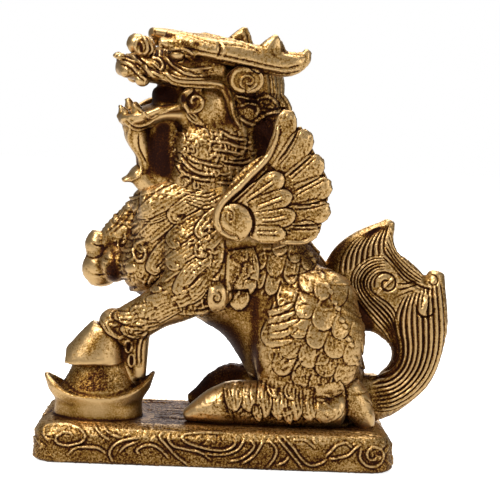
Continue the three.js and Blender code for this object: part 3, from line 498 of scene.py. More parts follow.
def shapeHead(clay):
    headEgg(clay, (-1.5, 0, 0.4), (11.4, 9.2, 9.4), soft=1.6)
    headLimb(clay, [
        [4, 0, 4.6, 8.6, 6], [10, 0, 4.7, 8.2, 5], [15, 0, 4.2, 6.8, 4.3], [20, 0, 3.7, 5.8, 3.4],
        [23.4, 0, 3.6, 4.4, 2.6], [25, 0, 3.9, 3, 1.6],
    ], soft=1.0)
    headLimb(clay, [
        [4, 0, -5.6, 8, 4], [10, 0, -5.8, 7.6, 2.6], [15, 0, -6, 6.6, 2.1], [19, 0, -7.4, 5.4, 2.2],
        [22, 0, -8.2, 4.4, 2], [24, 0, -8, 2.8, 1.1],
    ], soft=0.8)
    headLimb(clay, [[2, 0, -2, 6, 7], [10, 0, -2, 5, 6], [15.6, 0, -3.6, 3.6, 3]], soft=0.8)
    headLimb(clay, [
        [21.2, 0, -9.4, 3.4, 2.5], [20, 0, -12.6, 3, 2.3], [18.6, 0, -16, 2.6, 1.5],
        [18.4, 0, -18.8, 2.4, 1.4], [20, 0, -20.8, 2.2, 1.2], [22.8, 0, -21.8, 1.2, 0.5],
    ], soft=0.5)
    headLimb(clay, [[20.2, 0, -20, 2.6, 2], [16, 0, -23, 3.6, 3], [10, 0, -27, 4, 4]], soft=0.6)
    headLimb(clay, [[14, 0, -8, 4.6, 4.4], [13.6, 0, -16, 4.8, 4.6], [12.6, 0, -25, 5, 5]], soft=0.8)
    for m in (1, -1):
        headEgg(clay, (3.6, m * 6.2, -13), (9, 5, 7), soft=2.2)  # ruff below the cheek
        headEgg(clay, (3.4, m * 6, -20), (9.4, 5.4, 7), soft=2.2)
        shapeFaceSide(clay, m)


# Antler, prong, whisker, curl, brow, jaw and lobes. m is 1 on the near side and -1 on the far one.
def shapeFaceSide(clay, m):
    further = 0 if m == 1 else head["antlerLead"]
    headLimb(clay, [
        [15.8 + further, m * 4, 11, 1.7, 1.2], [12.4, m * 5.2, 10.2, 2.8, 1.9], [8.4, m * 6.8, 9, 3.2, 2.5],
        [3.6, m * 8.2, 8.6, 3.2, 2.8], [-1.4, m * 9.6, 7.7, 3, 2.8], [-6, m * 10.8, 7, 2.7, 2.8],
        [-10, m * 11.8, 6.8, 2.3, 2.6], [-12.8, m * 12.3, 8, 1.7, 1.8], [-13.8, m * 12.5, 9.8, 0.9, 0.9],
    ], soft=0.5)
    headLimb(clay, [
        [-6 + 0.8 * further, m * 10.6, 8.2, 2, 4], [-6.3 + 0.6 * further, m * 10.8, 10.2, 1.7, 2.9],
        [-6.6 + 0.4 * further, m * 11, 11.9 + 0.2 * further, 1.2, 1.5],
        [-6.8 + 0.3 * further, m * 11, 12.7 + 0.2 * further, 0.8, 0.6],
    ], soft=0.8)
    headLimb(clay, [
        [21.5, m * 5.8, 3.4, 0.8], [19, m * 7, 2.8, 0.8], [13.6, m * 8.4, 1.6, 0.9], [8.2, m * 9.4, 1.4, 0.9],
        [4.5, m * 9.8, 1.2, 0.9], [2.4, m * 9.8, -1.3, 0.9], [1, m * 9.4, -4.8, 0.9],
        [-1.3, m * 9, -8.4, 0.8],
    ], soft=0.4)
    curl = []
    for k in range(7):
        angle, radius = math.radians(120 - 50 * k), 2.9 - 0.27 * k
        curl.append([10.2 + radius * math.cos(angle), m * (8.7 + 0.1 * k), -2.4 + radius * math.sin(angle),
                     0.6])
    headLimb(clay, curl, soft=0.3)
    headLimb(clay, [[17, m * 4.6, 9.4, 1.3], [14.2, m * 6.6, 9.2, 1.3], [10.4, m * 8, 7, 1.2]], soft=0.5)
    headLimb(clay, [
        [13, m * 7.8, -4, 0.8], [16.2, m * 7, -4.6, 0.8], [19.4, m * 5.8, -6.2, 0.8], [22, m * 4.4, -7, 0.8],
        [24.2, m * 2.2, -7.8, 0.6],
    ], soft=0.4)
    headEgg(clay, (5.6, m * 4.4, -4.4), (7.4, 5.2, 6.6), soft=0.8)  # cheek
    headEgg(clay, (20.6, m * 3.4, 8.2), (2.4, 2, 2.4), soft=0.6)  # nostril
    headEgg(clay, (13.5, m * 5.9, 7.3), (1.7, 1.6, 1.2), soft=0.3)  # eye
    headEgg(clay, (-0.7, m * 10.2, 3), (4.2, 2, 2.7), soft=0.3)  # ear
    headEgg(clay, (11, m * 6.4, 3), (4.4, 3.4, 2.6), soft=0.5)  # pouch below the eye
    headEgg(clay, (25.2, m * 1.5, 5.6), (1.3, 1.2, 0.7), soft=0.5)  # lobes round the nose and lip
    headEgg(clay, (24.2, m * 2.4, 2.6), (1.3, 1.6, 1.4), soft=0.7)
    headEgg(clay, (20.8, m * 4.4, 1.2), (1.7, 1.4, 1.6), soft=1.0)
    headEgg(clay, (9.8, m * 8.2, -2.5), (2.6, 1.3, 2.6), soft=0.4)  # inside the curl at the mouth's corner
    for root, tip, radius in [  # the lower teeth
        [[20.8, m * 3.8, -7.4], [22, m * 3.8, -4.1], 2.1], [[23.2, m * 1.8, -7.6], [24, m * 1.8, -5.5], 1.4],
    ]:
        headLimb(clay, [[*root, radius], [*tip, radius * 0.3]], soft=0.3)


# Three rows of locks down the back of the neck
def shapeMane(clay):
    for row, z in enumerate((84, 77, 70)):
        for across in (-6, -2, 2, 6):
            y = across - 2 + 0.6 * row
            back = 12 - 0.1 * across * across + row
            limb(clay, [
                [back - 3, y, z, 2, 2], [back + 0.8, y, z - 4, 2, 2], [back + 1.2, y, z - 8, 1.6, 1.6],
                [back + 3, y * 1.1, z - 10.4, 0.8, 0.8],
            ], soft=0.4)


def shapeBackRidge(clay):
    plates, steps = 8, 100
    line = smoothLine([[14.5, 54], [21.4, 45.6], [27.6, 36.6], [30.6, 31.4]], steps)
    for k in range(plates):
        here = round(steps * k / (plates - 1))
        x, z = line[here]
        run = line[min(here + 1, steps)] - line[max(here - 1, 0)]
        run = np.array((run[0], 0, run[1])) / np.linalg.norm(run)
        middle = np.array((x, 0, z))
        limb(clay, [[*(middle - 0.9 * run), 1.6, 1.25], [*(middle + run), 1.5, 1.15]], soft=0.25, cap=0.3)


def shapeBreastPlates(clay):
    side = np.array((1, 0, -0.6)) / np.linalg.norm((1, 0, -0.6))
    for x, z in [(-19.6, 58), (-18.4, 52), (-16.2, 46.4), (-12.8, 41), (-8, 36)]:
        limb(clay, [
            [x + 5, -8.4, z - 1.6, 1.4, 2.4], [x + 1.6, -4.4, z - 0.4, 1.6, 2.8], [x + 0.4, 0, z, 1.7, 3],
            [x + 1.6, 4.4, z - 0.4, 1.6, 2.8], [x + 5, 8.4, z - 1.6, 1.4, 2.4],
        ], side=side, soft=0.3)


wing = {
    "voxel": 0.2, "triangles": 80000,
    "shoulder": (2.3, 15, 54.5), "flare": 0.13, "discRadius": 4.2,  # the flare is out over up
    "primaries": [  # root, middle and tip of each feather, and its half width
        ([(9.8, 67.6), (12.0, 73.0), (12.9, 79.3)], 2.35), ([(11.6, 65.8), (14.8, 70.4), (17.2, 75.0)], 2.75),
        ([(13.0, 62.8), (17.2, 66.0), (20.4, 69.4)], 2.7), ([(13.4, 59.9), (18.2, 61.8), (22.9, 63.9)], 2.8),
        ([(13.4, 56.2), (18.2, 57.0), (22.9, 58.7)], 2.8), ([(11.6, 52.9), (16.2, 52.7), (20.7, 54.1)], 2.5),
    ],
    # the web behind their tips
    "web": [(13.6, 74.6), (17.4, 70.6), (19.6, 65.6), (20.7, 60.6), (20.3, 56.8), (18.6, 53.4)],
    "coverts": [
        ([(3.4, 58.4), (7.6, 61.6), (12.4, 65.3)], 2.3), ([(5.6, 57.4), (9.8, 59.2), (14.5, 61.2)], 2.2),
        ([(6.2, 55.1), (11.0, 55.6), (15.5, 57.0)], 2.1), ([(6.0, 52.6), (9.6, 52.5), (13.7, 52.7)], 1.75),
    ],
    "borders": [  # the grooves between the outer feathers
        [(15.2, 75.6), (14.3, 73.1), (12.8, 70.4), (11.2, 68.4)], [(19.2, 70.6), (17.6, 69.0), (13.9, 65.3)],
        [(21.6, 65.8), (18.4, 63.9), (15.0, 61.9)], [(22.9, 61.0), (19.4, 59.5), (15.0, 58.9)],
        [(21.3, 55.2), (18.3, 54.6), (14.6, 54.5)],
    ],
}


def wingDepth(z):
    return wing["shoulder"][1] + wing["flare"] * (z - wing["shoulder"][2])


# The wing's blade, its front edge, the web, the disc at the shoulder and each feather
def shapeWing(clay, side):
    limb(clay, [
        [1, side * wingDepth(54), 54, 1.8, 4], [7, side * wingDepth(59), 59, 1.5, 7.4],
        [12, side * wingDepth(62), 62, 1.2, 8.4], [15.5, side * wingDepth(64), 64, 0.8, 6],
    ], soft=0.4)
    limb(clay, [
        [-0.8, side * 15, 53.4, 1.2], [-0.6, side * 15.4, 57.4, 1.2], [2.4, side * 16, 61.2, 1.1],
        [6.4, side * 16.6, 65.4, 1], [9.4, side * 17, 69.6, 0.9], [10.9, side * 17.2, 74, 0.6],
    ], soft=0.4)
    web = smoothLine(wing["web"], 16)
    limb(clay, [[px, side * wingDepth(pz), pz, 0.75, 2.7] for px, pz in web], soft=0.2, steps=2)
    x, y, z = wing["shoulder"]
    egg(clay, (x, side * (y - 0.4), z), (wing["discRadius"], 1.9, wing["discRadius"]), soft=0.3)
    egg(clay, (4, side * 11.5, 56), (4.5, 5, 4), soft=0.6)
    for feathers, out in ((wing["primaries"], 0), (wing["coverts"], 0.5)):
        for points, width in feathers:
            line = smoothLine(points, 20)
            rows = []
            for share, fullness, thick in [(0, 0.7, 0.8), (0.4, 0.95, 1), (0.78, 1, 0.95), (0.9, 0.8, 0.8),
                                           (0.96, 0.5, 0.5)]:
                px, pz = line[round(20 * share)]
                rows.append([px, side * (wingDepth(pz) + out), pz, thick, width * fullness])
            limb(clay, rows, soft=0.3, steps=8)


tail = {"voxel": 0.22, "triangles": 120000}


# The plume, its rear tip, its front tip and the web between them, with the hole below left open
def shapeTail(clay):
    limb(clay, [
        [33, 0, 13.6, 5, 5.8], [36.4, 0, 14, 5, 5.7], [39.8, 0, 14.8, 5.2, 4.8], [45, 0, 20, 5, 5.2],
        [46.5, 0, 26, 4.8, 6.1], [45.2, 0, 32.4, 4.6, 8.2], [41, 0, 38.2, 4.4, 8], [37.2, 0, 44.2, 4, 6.2],
        [37, 0, 50.2, 2.8, 3], [38.6, 0, 55, 1.3, 1.3],
    ], soft=1)
    limb(clay, [
        [48.2, 0, 30, 3.6, 4.8], [48.8, 0, 36.6, 3.6, 4.2], [49.6, 0, 41, 2.8, 2.8], [50.1, 0, 43.4, 1.9, 2],
    ], soft=0.8)
    limb(clay, [
        [27, 0, 41, 3.6, 4.4], [30.2, 0, 45.6, 3.8, 5], [33.8, 0, 49.8, 3, 4], [38, 0, 54, 1.4, 1.7],
    ], soft=0.8)
    limb(clay, [[29, 0, 34, 4, 5], [35, 0, 34.8, 4.2, 5.2], [42, 0, 35.4, 4, 6]], soft=2.6)


# The clay's surface as points and faces
def surfaceOf(clay):
    voxel = clay["voxel"]
    band = 4 * voxel  # distances further from the surface than this don't matter to it
    grid = openvdb.FloatGrid(band)
    grid.copyFromArray(np.clip(clay["field"], -band, band))
    points, triangles, quads = grid.convertToPolygons(isovalue=0, adaptivity=0)
    low = np.array([axis[0] for axis in clay["axes"]])
    return points.astype(np.float64) * voxel + low, triangles, quads


def meshObject(name, points, quads, triangles):
    mesh = bpy.data.meshes.new(name)
    sides = [len(quads) * [4], len(triangles) * [3]]
    corners = np.concatenate([np.asarray(quads).ravel(), np.asarray(triangles).ravel()]).astype(np.int32)
    starts = np.concatenate([[0], np.cumsum(sides[0] + sides[1])[:-1]]).astype(np.int32)
    mesh.vertices.add(len(points))
    mesh.vertices.foreach_set("co", (points * millimetre).astype(np.float32).ravel())
    mesh.loops.add(len(corners))
    mesh.loops.foreach_set("vertex_index", corners)
    mesh.polygons.add(len(starts))
    mesh.polygons.foreach_set("loop_start", starts)
    mesh.update(calc_edges=True)
    mesh.validate()
    piece = bpy.data.objects.new(name, mesh)
    bpy.context.scene.collection.objects.link(piece)
    return piece


def pointsOf(mesh):
    points = np.empty(len(mesh.vertices) * 3, np.float32)
    mesh.vertices.foreach_get("co", points)
    return points.reshape(-1, 3).astype(np.float64) / millimetre


def lighten(piece, most):
    triangles = sum(len(polygon.vertices) - 2 for polygon in piece.data.polygons)
    if triangles > most:
        decimate = piece.modifiers.new("fewer faces", "DECIMATE")
        decimate.ratio = most / triangles
        bpy.context.view_layer.objects.active = piece
        bpy.ops.object.modifier_apply(modifier=decimate.name)
    piece.data.polygons.foreach_set("use_smooth", np.ones(len(piece.data.polygons), bool))


base = {"halfLength": 40.2, "halfWidth": 18, "corner": 5, "height": 8.8, "voxel": 0.26, "triangles": 180000}
ingot = {"middle": (-26.4, -5.6), "halfLength": 12.7, "halfWidth": 7.2, "low": 8.0, "rim": 13.9, "tips": 4.2}


# A boat with raised ends, its walls drawn by height, and a dome that stands in it
def shapeIngot(clay):
    cuts, x, y, z = clayWindow(clay, (-41, -15, 6), (-12, 4, 23))
    p = (x - ingot["middle"][0]) / ingot["halfLength"]
    q = (y - ingot["middle"][1]) / ingot["halfWidth"]
    reach = np.hypot(p, q) + 1e-3
    rim = ingot["rim"] + ingot["tips"] * np.where(p > 0, 1.28, 1) * (np.abs(p) / reach) ** 3
    share = np.clip((z - ingot["low"]) / (rim - ingot["low"]), 0, 1)
    outer = np.interp(share, [0, 0.35, 0.66, 1], [0.58, 0.74, 0.91, 1])
    inner = np.interp(z, [13.4, 14.2, 18], [0.74, 0.8, 0.93])
    wall = -softMin(-(reach - outer) * 8, rim - z, 0.5)
    shell = np.maximum(wall, np.minimum((inner - reach) * 9, z - 13.4))
    domeReach = np.hypot(p, 0.8 * q)
    dome = (domeReach - np.interp(z, [8, 13.5, 15.3, 16.9, 18.9, 20.7],
                                  [0.8, 0.76, 0.7, 0.61, 0.53, 0.48])) * 8
    dome = -softMin(-dome, 21.3 - z, 1.2)
    press(clay, cuts, softMin(shell, dome, 0.4).astype(np.float32), 0.3)


# What the sheets show. Places are mm in the side view: x and z, or forward and up on the head.

def paintWing(sheet):
    for points, width in wing["primaries"]:
        petal(sheet, points, width, lift=(0.1, 0.4), dome=0.2, rim=0.14, rimWidth=0.4, root=0.8, tip=0.3,
              grain=0.5)
    for line in wing["borders"]:
        stroke(sheet, line, 0.34, -0.35, dark=0.75)
        for shift, height in ((0.55, 0.26), (1.0, -0.12), (1.4, 0.18)):
            stroke(sheet, [(x + 0.35 * shift, z - 0.95 * shift) for x, z in line], 0.26, height,
                   dark=0.35 * (height < 0))
    for x, z in [(12.6, 67.0), (14.0, 63.6), (14.6, 60.4), (14.6, 57.6), (14.4, 53.4)]:
        stroke(sheet, windIn((x, z), 0.8, 0.8, -1, 60, inner=0.6), 0.28, 0.3, dark=0.4)
        fillGrain(sheet, [(x, z - 0.3), (x + 0.8, z)], 1.1, 0.8, dark=0.3)
    for points, width in wing["coverts"]:
        petal(sheet, points, width, lift=(0.2, 0.6), dome=0.25, rim=0.16, rimWidth=0.36, root=0.85, tip=0.3,
              grain=0.7)
        line = [np.array(p) for p in points]
        for shift, height in ((0.55, -0.22), (0.0, 0.2), (-0.5, -0.22)):
            shifted = [p + (-0.3 * shift, 0.9 * shift)
                       for p in (0.6 * line[0] + 0.4 * line[1], line[1], 0.4 * line[1] + 0.6 * line[2])]
            stroke(sheet, shifted, 0.26, height, dark=0.5 * (height < 0))
    edge = [(11.0, 76.0), (10.7, 73.2), (9.6, 70.2), (7.9, 67.6), (5.6, 65.1), (3.2, 62.4), (0.8, 60.0),
            (-0.8, 57.8), (-1.3, 55.4), (-0.8, 53.2), (1.0, 51.9), (3.4, 51.2)]
    for shift, height in ((0.95, -0.16), (1.45, 0.26), (1.95, -0.14), (2.45, 0.24)):
        stroke(sheet, [(x + 0.75 * shift, z - 0.66 * shift) for x, z in edge[3:8]], 0.27, height,
               dark=0.4 * (height < 0))
    cuts, distance, *_ = alongLine(sheet, np.array([(2.3, 55.0), (2.5, 54.6)]), 4.6)
    disc = distance < 3.7
    sheet["height"][cuts] = np.where(disc, 1.0 + 0.15 * (1 - (distance / 3.7) ** 2), sheet["height"][cuts])
    for key, value in (("polish", 0.2), ("grain", 0.5), ("dark", 0.0)):
        sheet[key][cuts] = np.where(disc, value, sheet[key][cuts])
    stroke(sheet, [(3.2, 58.6), (5.2, 57.8), (6.4, 56.0), (6.7, 53.8), (6.2, 51.9)], 0.36, -0.4, dark=0.75)
    petal(sheet, edge, 0.62, lift=(0.6, 0.8), dome=0.35, rim=0, root=0.5, tip=0.05, polish=0.3, groove=0.5)
    fillGrain(sheet, [(6.0, 60.0), (12.6, 66.6), (19.0, 62.0), (15.0, 53.0)], 6.0, 0.6)
    barbs = np.random.default_rng(41)
    for points, width in wing["primaries"]:  # the fine slanting lines on the feathers
        line = smoothLine(points, 40)
        for k in range(14, 38, 2):
            ahead = (line[min(k + 1, 40)] - line[k - 1]) / np.linalg.norm(line[min(k + 1, 40)] - line[k - 1])
            across = np.array((-ahead[1], ahead[0])) * width * barbs.uniform(0.2, 0.8) * barbs.choice((-1, 1))
            stroke(sheet, [line[k] + across - 0.7 * ahead, line[k] + 0.6 * across + 0.5 * ahead], 0.26, -0.16,
                   dark=0.45)
    stroke(sheet, [(3.4, 51.0), (8.0, 50.8), (12.6, 50.8), (17.6, 51.0), (19.6, 52.2)], 0.5, 0.5)
    stroke(sheet, windIn((1.5, 55.9), 1.7, 1.4, -1, 100, squash=0.62), 0.3, 0.35, dark=0.3)


haunch = {  # where the scales lie
    "thigh": [(11.5, 21.0), (11.2, 33.0), (14.0, 38.0), (21.0, 40.0), (26.5, 36.0), (30.5, 30.0),
              (31.0, 24.0), (29.0, 19.5), (20.0, 18.0), (14.0, 18.0)],
    "flank": [(7.4, 40.0), (7.4, 51.0), (17.0, 51.5), (22.5, 46.0), (29.0, 38.0), (26.5, 36.0), (21.0, 39.6),
              (14.0, 38.6)],
}


# Combed hair that sweeps up from the rump and parts round two curls
def paintTail(sheet):
    dark, deep = 0.8, 0.42
    fillGrain(sheet, [(34, 14), (46, 18), (48, 32), (38, 42), (33, 48)], 9.0, 0.5)
    outer = [(37.4, 11.4), (43.0, 12.8), (48.6, 17.4), (51.8, 24.0), (52.3, 31.0), (51.4, 38.0), (50.8, 41.6)]
    inner = [(36.0, 19.6), (40.2, 21.2), (41.8, 24.4), (41.4, 28.0), (40.4, 31.4), (40.6, 34.6), (42.2, 38.4)]
    comb(sheet, outer, inner, 9, 0.46, deep, dark)
    comb(sheet, [(39.6, 27.8), (37.4, 30.6), (32.6, 35.4), (30.2, 40.0), (30.4, 43.8), (33.4, 46.8),
                 (37.0, 47.6)],
         [(41.4, 30.6), (40.0, 35.4), (37.4, 37.4), (35.0, 39.0), (34.3, 41.0), (35.4, 43.2), (37.8, 44.0)],
         6, 0.42, deep, dark)
    comb(sheet, [(27.0, 42.6), (27.6, 46.8), (30.4, 50.8), (35.2, 53.6)],
         [(37.4, 47.8), (37.2, 50.6), (37.6, 52.6), (38.2, 54.6)], 8, 0.4, deep, dark)
    comb(sheet, [(38.7, 53.0), (39.8, 49.4), (43.2, 46.0), (46.6, 43.4)],
         [(36.8, 47.4), (39.5, 45.0), (42.2, 42.2), (45.4, 40.6)], 5, 0.4, deep, dark)
    comb(sheet, [(40.8, 38.4), (42.8, 39.4), (46.0, 40.4)], [(40.6, 41.4), (42.6, 41.4), (45.0, 42.0)], 2,
         0.34, 0.35, dark)
    petal(sheet, [(37.9, 41.4), (38.3, 41.0)], 3.2, lift=(0.2, 0.2), dome=0.3, rim=0, root=1, tip=0.1,
          grain=0.4)
    stroke(sheet, windIn((38.1, 41.2), 3.0, 1.5, -1, 200, inner=0.12, count=16), 0.34, -0.4, dark=0.85)
    petal(sheet, [(46.4, 36.6), (47.6, 36.4)], 2.6, lift=(0.3, 0.3), dome=0.5, rim=0, root=1, tip=0.2,
          grain=0.4)
    stroke(sheet, [(44.9, 36.8), (45.6, 34.8), (47.2, 33.9), (49.0, 34.5), (49.7, 36.2)], 0.4, -0.45,
           dark=0.9)
    stroke(sheet, [(43.0, 40.6), (46.4, 39.4), (48.8, 38.6), (50.4, 38.9)], 0.55, 0.45)
    stroke(sheet, [(43.4, 41.8), (46.6, 40.7), (49.0, 40.0)], 0.4, -0.4, dark=0.8)
    stroke(sheet, windIn((49.0, 42.2), 1.3, 0.8, -1, 120, inner=0.7), 0.3, -0.3, dark=0.6)
    fillGrain(sheet, [(34.4, 14.6), (37.4, 14.4)], 3.4, 1.0, dark=0.5)
    shade(sheet, [(27.0, 41.0), (28.6, 38.0), (31.6, 34.6), (34.0, 31.0)], 2.6, 0.8)
    shade(sheet, [(24.6, 42.6), (26.0, 47.0), (28.0, 50.4)], 3.4, 0.7, fade=3.0)
    shade(sheet, [(35.0, 19.4), (39.4, 20.6), (41.4, 24.0), (41.0, 28.0), (39.2, 31.0)], 2.0, 0.7, fade=1.6)


# Overlapping scales on a slanting lattice. Each lies over the one that its free edge points to.
def scaleField(sheet, outline, origin, besides, below, width, length, seed):
    chance = np.random.default_rng(seed)
    origin, besides, below = (np.array(v, float) for v in (origin, besides, below))
    down = below / np.linalg.norm(below)
    for row in range(8, -9, -1):
        for k in range(-9, 10):
            middle = origin + k * besides + row * below + chance.uniform(-0.25, 0.25, 2)
            share, swing, wide = chance.uniform(0.4, 1), chance.uniform(-0.3, 0.3), chance.uniform(0.88, 1.14)
            turned = np.array((down[0] * math.cos(swing) - down[1] * math.sin(swing),
                               down[0] * math.sin(swing) + down[1] * math.cos(swing)))
            if within(middle, outline):
                petal(sheet, [middle - 1.1 * length * down, middle, middle + length * turned], wide * width,
                      lift=(0.0, 0.34), dome=0.14, rim=0.12, rimWidth=0.3, root=0.95, tip=0.5, grain=share,
                      groove=0.8)


# Scales on flank and thigh, spiky locks at the front of the thigh, the hock and the hind foot
def paintHaunch(sheet):
    scaleField(sheet, haunch["flank"], (15.8, 43.5), (3.5, -1.5), (-0.8, -4.4), 1.85, 2.5, 21)
    scaleField(sheet, haunch["thigh"], (21.6, 29.8), (4.2, -2.0), (-1.3, -4.3), 2.35, 2.5, 22)
    front = [(9.9, 37.4), (9.9, 33.6), (10.2, 29.6), (10.6, 25.2), (11.6, 21.6), (13.8, 18.6)]
    shade(sheet, [(x - 2.0, z) for x, z in front], 1.9, 0.75, fade=1.4)
    spikes = [((10.9, 34.2), (16.4, 37.0)), ((10.9, 32.6), (16.8, 35.2)), ((10.9, 30.9), (17.6, 33.6)),
              ((10.9, 29.2), (17.4, 31.6)), ((10.9, 27.8), (16.6, 29.0))]
    for root, tip in spikes:
        middle = ((root[0] + tip[0]) / 2, (root[1] + tip[1]) / 2 - 0.35)
        petal(sheet, [root, middle, tip], 0.8, lift=(0.2, 0.1), dome=0.22, rim=0.1, rimWidth=0.2, root=0.8,
              tip=0.85, grain=0.8)
    stroke(sheet, windIn((12.6, 25.2), 1.7, 1.4, -1, 60), 0.34, 0.42, dark=0.35)
    comb(sheet, [(13.6, 24.4), (15.6, 26.0), (17.8, 27.8)], [(15.0, 20.4), (17.4, 22.4), (18.8, 24.6)], 3,
         0.3, 0.22, 0.3)
    scatterHooks(sheet, haunch["thigh"], 70, 2.0, 250, 60, 38, height=0.22, dark=0.55)
    scatterHooks(sheet, haunch["flank"], 50, 2.0, 250, 60, 39, height=0.2, dark=0.55)
    spine = [(16.0, 51.4), (22.6, 44.4), (28.0, 37.0), (31.2, 30.4)]
    fillGrain(sheet, spine, 2.6, 1.0, dark=0.62)
    for centre, angle in [((13.9, 36.8), 20), ((17.2, 38.4), 0)]:
        stroke(sheet, windIn(centre, 1.1, 1.1, 1, angle), 0.26, 0.3, dark=0.3)
    for t in range(7):  # studs beside the back's ridge
        x, z = 20.6 + 1.75 * t, 46.6 - 2.75 * t - 0.16 * t * t
        for shift in (-0.75, 0.75):
            p = np.array((x + 0.5 * shift, z - 0.85 * shift))
            petal(sheet, [p - (0.55, -0.35), p + (0.55, -0.35)], 0.5, lift=(0.6, 0.6), dome=0.1, rim=0,
                  root=1, tip=0.2, polish=0.8)
    shield = [(24.3, 19.4), (24.9, 15.6), (23.8, 10.8)]
    petal(sheet, shield, 4.3, lift=(0.3, 0.5), dome=0.4, rim=0.25, rimWidth=0.45, root=0.8, tip=0.5,
          grain=0.9, groove=0.9)
    for a, b, c in [((20.6, 14.6), (23, 15.6), (26.4, 13.2)), ((20.4, 12.8), (23.2, 13.4), (26.2, 11.6)),
                    ((21.2, 16.6), (24, 17), (27.2, 15.4))]:
        stroke(sheet, [a, b, c], 0.3, 0.3, dark=0.3)
    fillGrain(sheet, [(30.8, 17.6), (31.4, 11.4)], 2.8, 0.9, dark=0.3)
    for x, z in [(33.4, 16.6), (34.0, 13.9), (34.6, 11.2)]:
        stroke(sheet, windIn((x, z), 1.0, 0.5, -1, 150, inner=0.9), 0.28, 0.35, dark=0.4)
    fillGrain(sheet, [(5.0, 13.6), (20.0, 13.6)], 4.6, 1.0, dark=0.2)
    for points, width in [
        ([(20.6, 18.6), (20.4, 14.6), (21.4, 11.0)], 2.1), ([(17.4, 19.2), (17.2, 15.4), (18.2, 11.0)], 2.2),
        ([(14.0, 19.4), (13.8, 15.2), (14.6, 11.0)], 2.2), ([(10.8, 19.6), (10.4, 15.6), (11.2, 11.2)], 2.2),
        ([(7.6, 19.4), (7.0, 16.0), (7.8, 12.4)], 2.0), ([(5.2, 18.8), (3.9, 16.6), (4.4, 12.4)], 2.0),
        ([(12.6, 19.8), (12.6, 17.2), (13.4, 15.6)], 1.3), ([(16.6, 19.0), (16.4, 17.0), (17.2, 15.2)], 1.3),
        ([(9.0, 14.2), (9.4, 12.2), (10.2, 10.4)], 1.1), ([(16.0, 13.8), (16.2, 12.0), (17.0, 10.2)], 1.1),
    ]:
        petal(sheet, points, width, lift=(0.05, 0.55), dome=0.3, rim=0.18, rimWidth=0.3, ribs=0.9, root=0.6,
              tip=0.55, grain=0.9)
    scatterHooks(sheet, [(5.0, 19.0), (21.0, 18.6), (21.0, 10.2), (5.0, 10.2)], 46, 1.7, 250, 50, 37,
                 height=0.22, dark=0.4)
    hoof = [(1.8, 17.4), (2.8, 14.0), (3.9, 10.4)]
    stroke(sheet, hoof, 0.4, 0.6, dark=0.3)
    stroke(sheet, [(x + 0.9, z) for x, z in hoof], 0.3, 0.4, dark=0.3)
    fillGrain(sheet, [(-4.6, 12.0), (0.6, 14.2)], 3.4, 0.9)
    scatterHooks(sheet, [(-5.6, 12.6), (0.6, 16.4), (1.4, 14.6), (-3.6, 10.6)], 16, 1.2, 30, 60, 43,
                 height=0.16, dark=0.5)
    shade(sheet, [(-4, 9.6), (30, 9.6)], 0.7, 0.6)


# The crumpled ruff below the jaw
def paintRuff(sheet):
    region = [(-11.8, 74.4), (-11.6, 66.0), (-9.6, 61.6), (-1.6, 59.4), (4.0, 60.6), (6.2, 68.6), (4.0, 73.2),
              (-2.0, 74.6)]
    fillGrain(sheet, [(-7, 70), (-2, 63), (3, 68.6)], 6.5, 1.0)
    scatterHooks(sheet, region, 125, 1.9, -24, 50, 31, height=0.3, dark=0.1)
    for line in [
        [(-10.8, 66.6), (-9.0, 64.6), (-6.0, 63.6), (-2.6, 63.4)],
        [(-10.4, 68.6), (-8.0, 66.0), (-5.4, 64.8), (-2.0, 64.6)],
        [(-8.4, 68.4), (-6.6, 67.4), (-4.0, 66.9), (-1.0, 66.4)],
        [(-1.6, 63.0), (1.2, 62.8), (3.4, 64.0), (4.6, 66.0)],
        [(-1.0, 67.9), (1.6, 67.4), (4.6, 67.6), (6.2, 68.6)],
        [(-3.6, 71.9), (-0.4, 71.8), (3.0, 70.9), (6.0, 70.6)], [(-3.0, 70.2), (0.0, 69.9), (3.4, 69.4)],
        [(-1.4, 74.2), (0.6, 73.2), (2.6, 72.6), (4.4, 72.6)],
    ]:
        ridge(sheet, line, 0.36, 0.4, dark=0.15)
    for line in ([(-1.6, 71.2), (3.0, 70.2)], [(-8.0, 66.4), (-6.0, 65.6), (-2.4, 65.4)],
                 [(-8.8, 72.8), (-5.4, 72.2)], [(-6.4, 69.2), (-2.8, 68.6)], [(0.4, 65.2), (3.2, 66.6)]):
        gloss(sheet, line, 1.4)


# A lock of hair. Hook is 0 for a straight tip, or 1 or -1 for the way it turns.
def lock(sheet, root, bend, tip, hook, width, grain=0.5):
    points = [root, bend, tip]
    if hook:
        heading = math.degrees(math.atan2(tip[1] - bend[1], tip[0] - bend[0]))
        for turn, length in [(30, 0.8), (85, 0.8), (140, 0.7), (200, 0.6)]:
            angle = math.radians(heading + hook * turn)
            points.append((points[-1][0] + length * math.cos(angle),
                           points[-1][1] + length * math.sin(angle)))
    petal(sheet, points, 1.1 * width, lift=(0.05, 0.42), dome=0.16, rim=0.2, rimWidth=0.26, ribs=0.85,
          root=0.7, tip=0.6, grain=grain + 0.2, polish=0.1, groove=0.75)


